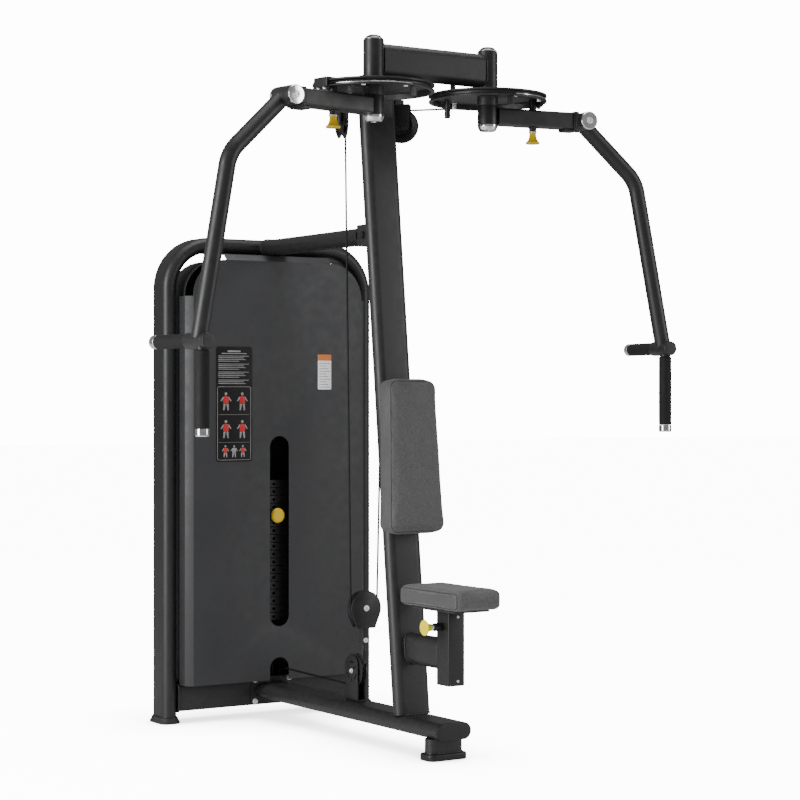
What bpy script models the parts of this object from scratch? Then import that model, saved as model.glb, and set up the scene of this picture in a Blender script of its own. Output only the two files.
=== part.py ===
"""Pec fly and rear delt machine with a weight stack, built as an assembly of separate parts.

Metres, +Z up. The origin is on the floor under the middle of the machine. The user sits on the
-Y side, the weight tower stands on the +Y side, and X runs across the machine.
Each moving body has an empty on its joint axis, and its pieces are children of that empty.
"""
import math

import bmesh
import bpy
from mathutils import Matrix, Vector

GAP = 0.0003                      # clearance between pieces that touch
ROUND_STEPS = 24                  # facets around a turned part
WALL = 0.003                      # wall of the frame tubes

# Flat-oval frame tubes, width by thickness
OVAL_WIDE = 0.120
OVAL_THICK = 0.050
OVAL_CROSS = 0.100                # cross beam and seat bracket, set on edge

# Weight tower
TOWER_Y = 0.595                   # plane of the hoop
TOWER_HALF_WIDTH = 0.392
TOWER_DEPTH = 0.103
TOWER_TOP_Z = 1.572
TOWER_CORNER_RADIUS = 0.145       # on the centre line of the hoop
FOOT_HEIGHT = 0.020
CROSS_TUBE_LOW_Z = 0.038
CROSS_TUBE_HIGH_Z = 0.122

# Base beam, post and head
BEAM_Z = 0.0866
BEAM_FRONT_Y = -0.529
FRONT_FOOT_Y = -0.473
POST_BASE_Y = -0.303
POST_LEAN = math.radians(6.14)
HEAD_BEAM_Z = 2.009
HEAD_BEAM_REAR_Y = -0.055
CROSS_BEAM_Z = 2.021
BRACE_Z = 1.546
BRACE_WIDE = 0.080
BRACKET_LENGTH = 0.075

# Arm pivots
PIVOT_X = 0.2006
PIVOT_Y = -0.411
PIVOT_TUBE_RADIUS = 0.030
PIVOT_TUBE_LOW_Z = 1.971
PIVOT_TUBE_HIGH_Z = 2.080
PIVOT_CAP_TOP_Z = 2.095
SHAFT_RADIUS = 0.015
ARM_SWEEP = math.radians(8.86)    # rest angle of the arms, ahead of straight sideways

# Cams
CAM_STEPS = 40                    # facets around the cam, two for each pin hole
CAM_RADIUS = 0.1765
CAM_INNER = 0.1645
CAM_LOW_Z = 1.9285
CAM_HIGH_Z = 1.950
CAM_WEB_Z = 1.944
CAM_HUB_LOW_Z = 1.9191
CABLE_ON_CAM = 0.1713             # radius of the cable's centre line on the cam
GROOVE_Z = 1.939
PIN_CIRCLE = 0.1515               # radius of the cam's ring of pin holes
PIN_HOLE_STEP = 2 * math.tau / CAM_STEPS
PIN_HOLES = 5

# Arms, in the frame of one arm: x outwards from the pivot, -y forwards
ARM_HIGH_Z = 1.9125
ARM_LOW_Z = 1.863
ARM_DEPTH = 0.060
ARM_END_X = 0.276
ELBOW_X = 0.321
ELBOW_Z = 1.888
ELBOW_RADIUS = 0.028
LOWER_ARM_Y = 0.010
LOWER_ARM_RADIUS = 0.024
BEND_X = 0.512
BEND_Z = 1.716
BEND_RADIUS = 0.110
HANDLE_X = 0.6115
HANDLE_Z = 1.2023
HANDLE_FRONT_Y = -0.036
HANDLE_REAR_Y = 0.222
GRIP_RADIUS = 0.0195

# Cables and pulleys
CABLE_RADIUS = 0.003
CABLE_GAP = 0.0015                # between the two ends where one run hands over to the next
PULLEY_GROOVE = 0.047             # radius of the cable's centre line on a large pulley
PULLEY_RADIUS = 0.0535
HEAD_PULLEY_X = 0.108
HEAD_PULLEY_Y = -0.080
HEAD_PULLEY_Z = 1.889
FLOATING_Y = -0.035
FLOATING_Z = 0.403
FLOOR_PULLEY_Y = 0.012
FLOOR_PULLEY_Z = 0.205
TOWER_CABLE_X = 0.035
BASE_PULLEY_Y = 0.6035
TOP_PULLEY_GROOVE = 0.03275
TOP_PULLEY_Z = 1.400
STACK_PULLEY_GROOVE = 0.035
STACK_PULLEY_Z = 0.905
TOP_BAR_LOW_Z = 1.452             # underside of the bar that holds the guide rods

# Weight stack
STACK_Y = 0.585
PLATE_WIDTH = 0.320
PLATE_DEPTH = 0.110
PLATE_PITCH = 0.0258
FIRST_HOLE_Z = 0.766
SELECTED_PLATES = 5
ALL_PLATES = 18
ROD_X = 0.120
ROD_RADIUS = 0.0125
STEM_RADIUS = 0.012
SELECTOR_RADIUS = 0.0042

# Shrouds
SHROUD_FRONT_Y = 0.490
SHROUD_SEAM_Y = 0.552
SHROUD_REAR_Y = 0.660
SHROUD_HALF_WIDTH = 0.3176
SHROUD_LOW_Z = 0.1225
SHROUD_HIGH_Z = 1.498
SHROUD_CORNER = 0.120
SHROUD_SHEET = 0.002
SLOT_HALF_WIDTH = 0.036
SLOT_LOW_Z = 0.299
SLOT_HIGH_Z = 0.924
NOTCH_HIGH_Z = 0.197

# Back pad and seat
PAD_LOW_Z = 0.646
PAD_HIGH_Z = 1.106
PAD_LOW_WIDTH = 0.200
PAD_HIGH_WIDTH = 0.168
PAD_THICK = 0.062
PAD_FACE_LOW_Y = -0.344
PAD_FACE_HIGH_Y = -0.315
SEAT_WIDTH = 0.166
SEAT_FRONT_Y = -0.661
SEAT_REAR_Y = -0.349
SEAT_HIGH_Z = 0.500
SEAT_THICK = 0.055
SLEEVE_X = 0.056
SLEEVE_Y = 0.064
SLEEVE_FRONT_Y = -0.542
SLEEVE_LOW_Z = 0.219
SLEEVE_HIGH_Z = 0.433
SEAT_BRACKET_Z = 0.306
SEAT_PIN_Z = 0.389
SEAT_STEP = 0.030                 # between the seat's height holes

BEAM_TOP_Z = BEAM_Z + OVAL_THICK / 2
HEAD_BEAM_LOW_Z = HEAD_BEAM_Z - OVAL_THICK / 2

# Axes that turn a flat shape, drawn in X and Y and deep in Z, into the machine's planes
FACING_SIDE = Matrix(((0, 0, 1, 0), (1, 0, 0, 0), (0, 1, 0, 0), (0, 0, 0, 1)))
FACING_FRONT = Matrix(((1, 0, 0, 0), (0, 0, -1, 0), (0, 1, 0, 0), (0, 0, 0, 1)))


# ---------------------------------------------------------------- scene and materials

def clear_scene():
    for item in list(bpy.data.objects):
        bpy.data.objects.remove(item)


def new_collection(name):
    collection = bpy.data.collections.new(name)
    bpy.context.scene.collection.children.link(collection)
    return collection


def new_material(name, colour, roughness, metallic=0.0):
    material = bpy.data.materials.new(name)
    material.use_nodes = True
    shader = material.node_tree.nodes["Principled BSDF"]
    shader.inputs["Base Color"].default_value = (*colour, 1.0)
    shader.inputs["Roughness"].default_value = roughness
    shader.inputs["Metallic"].default_value = metallic
    return material


clear_scene()
PARTS = new_collection("pec_fly_machine")
CUTTERS = new_collection("cutters")
PAINT = new_material("black_paint", (0.035, 0.036, 0.038), 0.42)
SHEET = new_material("grey_paint", (0.055, 0.057, 0.062), 0.55)
CHROME = new_material("chrome", (0.80, 0.80, 0.82), 0.12, 1.0)
STEEL = new_material("plate_steel", (0.030, 0.030, 0.032), 0.50, 0.6)
VINYL = new_material("vinyl", (0.075, 0.077, 0.080), 0.65)
RUBBER = new_material("grip_rubber", (0.020, 0.020, 0.021), 0.75)
YELLOW = new_material("yellow_plastic", (0.78, 0.62, 0.05), 0.35)
NYLON = new_material("black_nylon", (0.018, 0.018, 0.020), 0.45)
ROPE = new_material("cable_jacket", (0.012, 0.012, 0.013), 0.40)


# ---------------------------------------------------------------- outlines

def arc(centre, radius, start, end, steps):
    """Points from the start angle to the end angle, in radians, both included."""
    points = []
    for step in range(steps + 1):
        angle = start + (end - start) * step / steps
        points.append((centre[0] + radius * math.cos(angle), centre[1] + radius * math.sin(angle)))
    return points


def rounded_rectangle(low, high, radius, steps=5):
    """An anticlockwise outline; radius is one number, or one for each corner from low left."""
    radii = radius if isinstance(radius, tuple) else (radius,) * 4
    corners = ((low[0], low[1], 1, 1), (high[0], low[1], -1, 1),
               (high[0], high[1], -1, -1), (low[0], high[1], 1, -1))
    points = []
    for index, (x, y, step_x, step_y) in enumerate(corners):
        size = radii[index]
        if size == 0:
            points.append((x, y))
            continue
        start = math.pi * (1 + index / 2)
        centre = (x + step_x * size, y + step_y * size)
        points += arc(centre, size, start, start + math.pi / 2, steps)
    return points


def filleted(points, radius, steps=8):
    """A path in a plane whose inner corners are replaced by arcs."""
    path = [points[0]]
    for before, corner, after in zip(points, points[1:], points[2:]):
        corner = Vector(corner)
        back = (Vector(before) - corner).normalized()
        ahead = (Vector(after) - corner).normalized()
        half = back.angle(ahead) / 2
        centre = corner + (back + ahead).normalized() * radius / math.sin(half)
        first = corner + back * radius / math.tan(half) - centre
        last = corner + ahead * radius / math.tan(half) - centre
        turn = math.atan2(first.x * last.y - first.y * last.x, first.dot(last))
        start = math.atan2(first.y, first.x)
        path += arc(centre, radius, start, start + turn, steps)
    path.append(points[-1])
    return path


# ---------------------------------------------------------------- meshes

def taken_mesh(item):
    """The evaluated mesh of a temporary object, which is removed."""
    PARTS.objects.link(item)
    bpy.context.view_layer.update()
    graph = bpy.context.evaluated_depsgraph_get()
    mesh = bpy.data.meshes.new_from_object(item.evaluated_get(graph))
    bpy.data.objects.remove(item)
    work = bmesh.new()
    work.from_mesh(mesh)
    bmesh.ops.remove_doubles(work, verts=work.verts, dist=0.00001)
    work.to_mesh(mesh)
    work.free()
    return mesh


def new_curve(loops, cyclic, dimensions="2D"):
    curve = bpy.data.curves.new("outline", "CURVE")
    curve.dimensions = dimensions
    curve.render_resolution_u = 0
    for loop in loops:
        spline = curve.splines.new("POLY")
        spline.points.add(len(loop) - 1)
        for point, place in zip(spline.points, loop):
            point.co = (*place, 1) if len(place) == 3 else (*place, 0, 1)
        spline.use_cyclic_u = cyclic
    return curve


def prism(loops, depth, axes=Matrix.Identity(4)):
    """Flat outlines, the first filled and the others holes, raised from 0 to depth."""
    curve = new_curve(loops, True)
    curve.fill_mode = "BOTH"
    curve.extrude = depth / 2
    mesh = taken_mesh(bpy.data.objects.new("prism", curve))
    mesh.transform(axes @ Matrix.Translation((0, 0, depth / 2)))
    return mesh


def box(low, high):
    size = Vector(high) - Vector(low)
    mesh = bpy.data.meshes.new("box")
    work = bmesh.new()
    bmesh.ops.create_cube(work, size=1)
    bmesh.ops.scale(work, vec=size, verts=work.verts)
    bmesh.ops.translate(work, vec=(Vector(high) + Vector(low)) / 2, verts=work.verts)
    work.to_mesh(mesh)
    work.free()
    return mesh


def rod(radius, start, end, steps=ROUND_STEPS):
    """A solid round bar from one point to another."""
    start = Vector(start)
    run = Vector(end) - start
    mesh = bpy.data.meshes.new("rod")
    work = bmesh.new()
    bmesh.ops.create_cone(work, cap_ends=True, segments=steps, radius1=radius, radius2=radius,
                          depth=run.length)
    turn = run.to_track_quat("Z", "Y").to_matrix().to_4x4()
    bmesh.ops.transform(work, matrix=Matrix.Translation(start + run / 2) @ turn, verts=work.verts)
    work.to_mesh(mesh)
    work.free()
    return mesh


def turned(profile, steps=ROUND_STEPS):
    """A profile of (radius, height) points, outer side first and downwards, around Z.

    The profile is closed, or runs from the axis to the axis.
    """
    mesh = bpy.data.meshes.new("profile")
    count = len(profile)
    edges = [(index, (index + 1) % count) for index in range(count)
             if profile[index][0] > 0 or profile[(index + 1) % count][0] > 0]
    mesh.from_pydata([(radius, 0, height) for radius, height in profile], edges, [])
    item = bpy.data.objects.new("turned", mesh)
    screw = item.modifiers.new("turn", "SCREW")
    screw.steps = steps
    screw.render_steps = steps
    screw.use_merge_vertices = True
    screw.merge_threshold = 0.00005
    return taken_mesh(item)


def bent_bar(path, wide, thick, axes, wall=None, quarter=3):
    """A flat-oval or round bar along a flat path; its wide way is the depth of the path's plane.

    With a wall it is a tube, open at both ends.
    """
    curve = new_curve([path], False)
    curve.bevel_depth = thick / 2
    curve.bevel_resolution = quarter
    curve.extrude = (wide - thick) / 2
    curve.use_fill_caps = wall is None
    item = bpy.data.objects.new("bar", curve)
    mesh = taken_mesh(item)
    if wall is not None:
        shell = bpy.data.objects.new("shell", mesh)
        solidify = shell.modifiers.new("wall", "SOLIDIFY")
        solidify.thickness = wall
        solidify.offset = -1
        mesh = taken_mesh(shell)
    mesh.transform(axes)
    return mesh


def cable(path):
    """A plain round cable through points in space."""
    curve = new_curve([path], False, "3D")
    curve.bevel_depth = CABLE_RADIUS
    curve.bevel_resolution = 1
    curve.use_fill_caps = True
    return taken_mesh(bpy.data.objects.new("cable", curve))


def moved(mesh, matrix):
    mesh.transform(matrix)
    return mesh


# ---------------------------------------------------------------- objects

def link_object(name, mesh, collection, body):
    item = bpy.data.objects.new(name, mesh)
    collection.objects.link(item)
    if body is not None:
        item.parent = body
    return item


def shade(mesh):
    mesh.shade_smooth()
    mesh.set_sharp_from_angle(angle=math.radians(35))


def part(name, mesh, material, body=None, add=(), cut=(), solver="EXACT"):
    """A named piece, with the meshes that are joined to it and cut from it."""
    shade(mesh)
    mesh.materials.clear()
    mesh.materials.append(material)
    item = link_object(name, mesh, PARTS, body)
    for operation, tools in (("UNION", add), ("DIFFERENCE", cut)):
        for index, shape in enumerate(tools):
            tool = link_object(f"{name}_{operation.lower()}_{index}", shape, CUTTERS, body)
            tool.hide_render = True
            tool.display_type = "WIRE"
            boolean = item.modifiers.new(f"{operation.lower()}_{index}", "BOOLEAN")
            boolean.operation = operation
            boolean.solver = solver
            boolean.object = tool
    return item


def mirrored(source, name, body):
    """The left-hand copy of a right-hand piece, as finished geometry."""
    bpy.context.view_layer.update()
    graph = bpy.context.evaluated_depsgraph_get()
    mesh = bpy.data.meshes.new_from_object(source.evaluated_get(graph))
    mesh.transform(Matrix.Scale(-1, 4, (1, 0, 0)))
    mesh.flip_normals()
    return link_object(name, mesh, PARTS, body)


def new_body(name, place, turn=(0, 0, 0), parent=None):
    empty = bpy.data.objects.new(f"{name}_axis", None)
    CUTTERS.objects.link(empty)
    empty.parent = parent
    empty.location = place
    empty.rotation_euler = turn
    return empty


# ---------------------------------------------------------------- frame

def build_tower():
    middle = TOWER_HALF_WIDTH - OVAL_THICK / 2
    top = TOWER_TOP_Z - OVAL_THICK / 2
    hoop = filleted([(-middle, FOOT_HEIGHT), (-middle, top), (middle, top), (middle, FOOT_HEIGHT)],
                    TOWER_CORNER_RADIUS, 7)
    hoop_mesh = bent_bar(hoop, TOWER_DEPTH, OVAL_THICK, FACING_FRONT, WALL)
    hoop_mesh.transform(Matrix.Translation((0, TOWER_Y, 0)))
    part("tower_hoop", hoop_mesh, PAINT)
    for name, side in (("left", -1), ("right", 1)):
        outline = rounded_rectangle((-0.034, -0.0575), (0.034, 0.0575), 0.016, 3)
        foot = prism([outline], FOOT_HEIGHT - GAP)
        foot.transform(Matrix.Translation((side * middle, TOWER_Y, 0)))
        part(f"tower_foot_{name}", foot, RUBBER)
    half = middle - OVAL_THICK / 2 - GAP
    outer = rounded_rectangle((-0.050, CROSS_TUBE_LOW_Z), (0.050, CROSS_TUBE_HIGH_Z), 0.008, 3)
    inner = rounded_rectangle((-0.050 + WALL, CROSS_TUBE_LOW_Z + WALL),
                              (0.050 - WALL, CROSS_TUBE_HIGH_Z - WALL), 0.005, 3)
    tube = prism([outer, inner], 2 * half, FACING_SIDE)
    tube.transform(Matrix.Translation((-half, TOWER_Y, 0)))
    low_plate_z = FIRST_HOLE_Z + 0.0125 - ALL_PLATES * PLATE_PITCH + 0.0008
    bore = ROD_RADIUS + 0.0005
    buffers = []
    for side in (-1, 1):
        buffer = turned([(bore, low_plate_z - GAP), (0.022, low_plate_z - GAP),
                         (0.022, CROSS_TUBE_HIGH_Z - 0.001), (bore, CROSS_TUBE_HIGH_Z - 0.001)], 20)
        buffers.append(moved(buffer, Matrix.Translation((side * ROD_X, STACK_Y, 0))))
    part("tower_cross_tube", tube, PAINT, add=buffers)


def build_base():
    rear = TOWER_Y - 0.050 - GAP
    beam = bent_bar([(BEAM_FRONT_Y + 0.004, BEAM_Z), (rear, BEAM_Z)], OVAL_WIDE, OVAL_THICK,
                    FACING_SIDE, WALL)
    part("base_beam", beam, PAINT)
    cap = bent_bar([(BEAM_FRONT_Y, BEAM_Z), (BEAM_FRONT_Y + 0.004 - GAP, BEAM_Z)],
                   OVAL_WIDE, OVAL_THICK, FACING_SIDE)
    part("base_beam_end_cap", cap, PAINT)
    stem = bent_bar([(FRONT_FOOT_Y, FOOT_HEIGHT - 0.002), (FRONT_FOOT_Y, BEAM_Z - 0.025 - GAP)],
                    OVAL_WIDE, OVAL_THICK, FACING_SIDE)
    outline = rounded_rectangle((-0.067, -0.034), (0.067, 0.034), 0.020, 3)
    plate = moved(prism([outline], FOOT_HEIGHT), Matrix.Translation((0, FRONT_FOOT_Y, 0)))
    part("front_foot", stem, PAINT, add=[plate])


def post_y(height):
    """Y of the post's centre line at a height."""
    return POST_BASE_Y + (height - BEAM_TOP_Z) * math.tan(POST_LEAN)


def leaning(slope, base_y, base_z):
    """A shear that sets an upright shape, made at y = 0, on a leaning plane."""
    shear = Matrix.Identity(4)
    shear[1][2] = slope
    shear[1][3] = base_y - base_z * slope
    return shear


def post_clearance(height):
    """A cutter that leaves a piece clear of the post's leaning front and rear faces."""
    half = OVAL_THICK / 2 + GAP
    cutter = box((-0.08, -half, height - 0.3), (0.08, half, height + 0.3))
    cutter.transform(leaning(math.tan(POST_LEAN), POST_BASE_Y, BEAM_TOP_Z))
    return cutter


def build_post():
    low = BEAM_TOP_Z + GAP
    high = HEAD_BEAM_LOW_Z - GAP
    post = bent_bar([(0, low), (0, high)], OVAL_WIDE, OVAL_THICK, FACING_SIDE, WALL)
    post.transform(leaning(math.tan(POST_LEAN), POST_BASE_Y, BEAM_TOP_Z))
    part("post", post, PAINT)
    front = post_y(BRACE_Z) + OVAL_THICK / 2
    brace = bent_bar([(front + BRACKET_LENGTH, BRACE_Z), (TOWER_Y - TOWER_DEPTH / 2 - GAP, BRACE_Z)],
                     BRACE_WIDE, OVAL_THICK, FACING_SIDE, WALL)
    part("brace_tube", brace, PAINT)
    bracket = box((-0.036, front - 0.020, BRACE_Z - 0.033),
                  (0.036, front + BRACKET_LENGTH - GAP, BRACE_Z + 0.033))
    part("brace_bracket", bracket, PAINT, cut=[post_clearance(BRACE_Z)])


def build_head():
    front = PIVOT_Y + OVAL_THICK / 2 + GAP
    beam = bent_bar([(front, HEAD_BEAM_Z), (HEAD_BEAM_REAR_Y, HEAD_BEAM_Z)], OVAL_WIDE, OVAL_THICK,
                    FACING_SIDE, WALL)
    part("head_beam", beam, PAINT)
    reach = PIVOT_X - PIVOT_TUBE_RADIUS + 0.006
    cross = bent_bar([(-reach, PIVOT_Y), (reach, PIVOT_Y)], OVAL_CROSS, OVAL_THICK,
                     Matrix.Translation((0, 0, CROSS_BEAM_Z)), WALL)
    tubes = []
    bores = []
    cap = 0.022
    for name, side in (("left", -1), ("right", 1)):
        at_pivot = Matrix.Translation((side * PIVOT_X, PIVOT_Y, 0))
        tube = rod(PIVOT_TUBE_RADIUS, (0, 0, PIVOT_TUBE_LOW_Z), (0, 0, PIVOT_TUBE_HIGH_Z))
        tubes.append(moved(tube, at_pivot))
        bores.append(moved(rod(SHAFT_RADIUS + GAP, (0, 0, 1.9), (0, 0, 2.2)), at_pivot))
        top = PIVOT_TUBE_HIGH_Z + GAP
        low = ARM_LOW_Z - GAP
        shaft = turned([(0, PIVOT_CAP_TOP_Z), (cap * 0.6, PIVOT_CAP_TOP_Z - 0.001),
                        (cap, PIVOT_CAP_TOP_Z - 0.006), (cap, top), (SHAFT_RADIUS, top),
                        (SHAFT_RADIUS, low), (PIVOT_TUBE_RADIUS, low),
                        (PIVOT_TUBE_RADIUS, low - 0.014), (PIVOT_TUBE_RADIUS - 0.008, low - 0.020),
                        (0, low - 0.020)])
        part(f"pivot_shaft_{name}", moved(shaft, at_pivot), CHROME)
    vent = rod(0.004, (0, PIVOT_Y, CROSS_BEAM_Z - 0.06), (0, PIVOT_Y, CROSS_BEAM_Z - 0.03), 12)
    part("cross_beam", cross, PAINT, add=tubes, cut=[*bores, vent])


# ---------------------------------------------------------------- arms

def cam_mesh():
    bore = SHAFT_RADIUS + GAP
    hub = PIVOT_TUBE_RADIUS + 0.001
    return turned([(bore, PIVOT_TUBE_LOW_Z - GAP), (hub, PIVOT_TUBE_LOW_Z - GAP), (hub, CAM_HIGH_Z),
                   (CAM_RADIUS, CAM_HIGH_Z), (CAM_RADIUS, GROOVE_Z + 0.006),
                   (CAM_RADIUS - 0.0085, GROOVE_Z + 0.0035), (CAM_RADIUS - 0.0085, GROOVE_Z - 0.0035),
                   (CAM_RADIUS, GROOVE_Z - 0.006), (CAM_RADIUS, CAM_LOW_Z), (CAM_INNER, CAM_LOW_Z),
                   (CAM_INNER, CAM_WEB_Z), (hub, CAM_WEB_Z), (hub, CAM_HUB_LOW_Z),
                   (bore, CAM_HUB_LOW_Z)], CAM_STEPS)


def pin_hole_cutters():
    cutters = []
    for index in range(PIN_HOLES):
        angle = index * PIN_HOLE_STEP
        x = PIN_CIRCLE * math.cos(angle)
        y = PIN_CIRCLE * math.sin(angle)
        cutters.append(rod(0.0055, (x, y, CAM_WEB_Z - 0.01), (x, y, CAM_HIGH_Z + 0.01), 12))
    return cutters


def arm_mesh_and_tools():
    """The upper arm: hub, box tube, end flange, elbow sleeve and pull-pin housing."""
    bore = SHAFT_RADIUS + GAP
    hub = turned([(bore, CAM_HUB_LOW_Z - GAP), (PIVOT_TUBE_RADIUS, CAM_HUB_LOW_Z - GAP),
                  (PIVOT_TUBE_RADIUS, ARM_LOW_Z), (bore, ARM_LOW_Z)])
    middle = (ARM_HIGH_Z + ARM_LOW_Z) / 2
    half = (ARM_HIGH_Z - ARM_LOW_Z) / 2
    outline = rounded_rectangle((-ARM_DEPTH / 2, -half + 0.0005), (ARM_DEPTH / 2, half), 0.006, 3)
    length = ARM_END_X - 0.025
    tube = prism([outline], length, FACING_SIDE)
    tube.transform(Matrix.Translation((0.025, 0, middle)))
    flange = box((ARM_END_X - 0.001, -0.036, middle - 0.028), (ELBOW_X - ELBOW_RADIUS - GAP, 0.036, middle + 0.027))
    neck = box((ARM_END_X, -0.0395, ELBOW_Z - 0.020), (ELBOW_X, -0.0150, ELBOW_Z + 0.020))
    sleeve = rod(ELBOW_RADIUS, (ELBOW_X, -0.0400, ELBOW_Z), (ELBOW_X, -0.0145, ELBOW_Z))
    lip = box((0.250, -0.022, ARM_LOW_Z - 0.008), (0.2915, 0.022, ARM_LOW_Z + 0.003))
    housing = rod(0.0115, (PIN_CIRCLE, 0, 1.850), (PIN_CIRCLE, 0, CAM_WEB_Z - GAP), 20)
    clearance = rod(bore, (0, 0, ARM_LOW_Z - 0.01), (0, 0, CAM_HUB_LOW_Z + 0.01))
    pin_bore = rod(0.0055, (PIN_CIRCLE, 0, 1.84), (PIN_CIRCLE, 0, CAM_WEB_Z + 0.01), 16)
    elbow_bore = rod(0.0103, (ELBOW_X, -0.05, ELBOW_Z), (ELBOW_X, 0.0, ELBOW_Z), 20)
    return hub, [tube, flange, neck, sleeve, lip, housing], [clearance, pin_bore, elbow_bore]


def elbow_pin_mesh():
    """A turned pin along Z with a domed head at each end."""
    return turned([(0, 0.0485), (0.0250, 0.0485), (0.0275, 0.0460), (0.0275, 0.0403),
                   (0.010, 0.0403), (0.010, -0.0343), (0.0275, -0.0343), (0.0275, -0.0400),
                   (0.0250, -0.0425), (0, -0.0425)])


def lower_arm_mesh_and_tools():
    """The lower arm: elbow sleeve, bent tube and the tee that carries both grips."""
    sleeve = rod(ELBOW_RADIUS, (ELBOW_X, -0.0142, ELBOW_Z), (ELBOW_X, 0.0340, ELBOW_Z))
    path = filleted([(ELBOW_X + 0.008, ELBOW_Z - 0.0072), (BEND_X, BEND_Z),
                     (HANDLE_X, HANDLE_Z + 0.004)], BEND_RADIUS, 8)
    tube = bent_bar(path, 2 * LOWER_ARM_RADIUS, 2 * LOWER_ARM_RADIUS,
                    Matrix.Translation((0, LOWER_ARM_Y, 0)) @ FACING_FRONT, None, 5)
    tee = rod(0.0225, (HANDLE_X, HANDLE_FRONT_Y, HANDLE_Z), (HANDLE_X, 0.060, HANDLE_Z))
    spigot = rod(0.0125, (HANDLE_X, 0.055, HANDLE_Z), (HANDLE_X, HANDLE_REAR_Y - 0.022, HANDLE_Z), 16)
    drop = rod(0.0125, (HANDLE_X, -0.003, HANDLE_Z - 0.01), (HANDLE_X, -0.003, 0.966), 16)
    elbow_bore = rod(0.0103, (ELBOW_X, -0.03, ELBOW_Z), (ELBOW_X, 0.05, ELBOW_Z), 20)
    return sleeve, [tube, tee, spigot, drop], [elbow_bore]


def grip_mesh(length, cap):
    """A grip sleeve on a 25 mm bar, from z = 0 downwards, with a plug at its far end."""
    inner = 0.0125 + GAP
    return turned([(inner, 0), (GRIP_RADIUS - 0.002, 0), (GRIP_RADIUS, -0.003),
                   (GRIP_RADIUS, -length + cap), (GRIP_RADIUS - 0.0005, -length + 0.002),
                   (GRIP_RADIUS - 0.002, -length), (0, -length), (0, -length + cap - 0.002),
                   (inner, -length + cap - 0.002)], 24)


def pull_pin_mesh():
    """Plunger and bell knob, downwards from z = 0 at the plunger's tip."""
    return turned([(0, 0), (0.0035, 0), (0.005, -0.004), (0.005, -0.0955), (0.0105, -0.0965),
                   (0.0115, -0.108), (0.0145, -0.122), (0.020, -0.127), (0.020, -0.131),
                   (0, -0.131)], 20)


def build_right_arm():
    cam_body = new_body("right_cam", (PIVOT_X, PIVOT_Y, 0), (0, 0, -ARM_SWEEP))
    stop = rod(0.009, (-0.077, 0.117, 1.893), (-0.077, 0.117, CAM_WEB_Z + 0.002), 16)
    pieces = {"cam": (part("cam_right", cam_mesh(), PAINT, cam_body, [stop], pin_hole_cutters(), "MANIFOLD"))}
    arm_body = new_body("right_arm", (0, 0, 0), parent=cam_body)
    hub, added, removed = arm_mesh_and_tools()
    pieces["upper_arm"] = part("upper_arm_right", hub, PAINT, arm_body, added, removed, "MANIFOLD")
    elbow = Matrix.Translation((ELBOW_X, 0, ELBOW_Z)) @ Matrix.Rotation(math.radians(90), 4, "X")
    pieces["elbow_pin"] = part("elbow_pin_right", moved(elbow_pin_mesh(), elbow), CHROME, arm_body)
    pin_place = Matrix.Translation((PIN_CIRCLE, 0, CAM_WEB_Z - GAP))
    pieces["arm_pull_pin"] = part("arm_pull_pin_right", moved(pull_pin_mesh(), pin_place), YELLOW, arm_body)
    lower_body = new_body("right_lower_arm", (ELBOW_X, 0, ELBOW_Z), parent=arm_body)
    from_elbow = Matrix.Translation((-ELBOW_X, 0, -ELBOW_Z))
    sleeve, added, removed = lower_arm_mesh_and_tools()
    for mesh in (sleeve, *added, *removed):
        mesh.transform(from_elbow)
    pieces["lower_arm"] = part("lower_arm_right", sleeve, PAINT, lower_body, added, removed)
    hanging = Matrix.Translation((HANDLE_X, -0.003, 1.178))
    upright = moved(grip_mesh(1.178 - 0.944, 0.022), from_elbow @ hanging)
    pieces["fly_grip"] = part("fly_grip_right", upright, RUBBER, lower_body)
    level = Matrix.Translation((HANDLE_X, 0.0605, HANDLE_Z)) @ Matrix.Rotation(math.radians(90), 4, "X")
    sideways = moved(grip_mesh(HANDLE_REAR_Y - 0.0605, 0.022), from_elbow @ level)
    pieces["row_grip"] = part("rear_grip_right", sideways, RUBBER, lower_body)
    return pieces


def build_left_arm(right):
    cam_body = new_body("left_cam", (-PIVOT_X, PIVOT_Y, 0), (0, 0, ARM_SWEEP))
    arm_body = new_body("left_arm", (0, 0, 0), parent=cam_body)
    lower_body = new_body("left_lower_arm", (-ELBOW_X, 0, ELBOW_Z), parent=arm_body)
    bodies = {"cam": cam_body, "upper_arm": arm_body, "elbow_pin": arm_body, "arm_pull_pin": arm_body}
    for key, source in right.items():
        mirrored(source, source.name.replace("_right", "_left"), bodies.get(key, lower_body))


# ---------------------------------------------------------------- pulleys and brackets

def pulley_mesh(groove, outer, bore=0.0053, half=0.009):
    """A grooved pulley around Z; groove is the radius of the cable's centre line."""
    floor = groove - CABLE_RADIUS - 0.0008
    return turned([(bore, half), (outer, half), (floor, 0.0038), (floor, -0.0038),
                   (outer, -half), (bore, -half)])


def cheek_meshes(outline, axes):
    """Two plates either side of a pulley and the axle between them, about the pulley's centre."""
    inner = 0.0115
    front = prism([outline], 0.004, axes @ Matrix.Translation((0, 0, inner)))
    back = prism([outline], 0.004, axes @ Matrix.Translation((0, 0, -inner - 0.004)))
    axle = moved(rod(0.005, (0, 0, -inner - 0.002), (0, 0, inner + 0.002), 16), axes)
    return front, back, axle


def pulley_bracket(name, outline, axes, place, extra, body=None, cut=(), material=PAINT):
    """Cheeks and axle, moved to a place, and welded to the extra pieces."""
    front, back, axle = (moved(shape, place) for shape in cheek_meshes(outline, axes))
    return part(name, front, material, body, add=[axle, *extra, back], cut=cut)


def head_run():
    """Direction, as an angle, of the right cable from its head pulley to the cam, seen from above."""
    across = PIVOT_X - HEAD_PULLEY_X
    along = PIVOT_Y - HEAD_PULLEY_Y
    return math.atan2(along, across) + math.asin(CABLE_ON_CAM / math.hypot(across, along))


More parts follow.
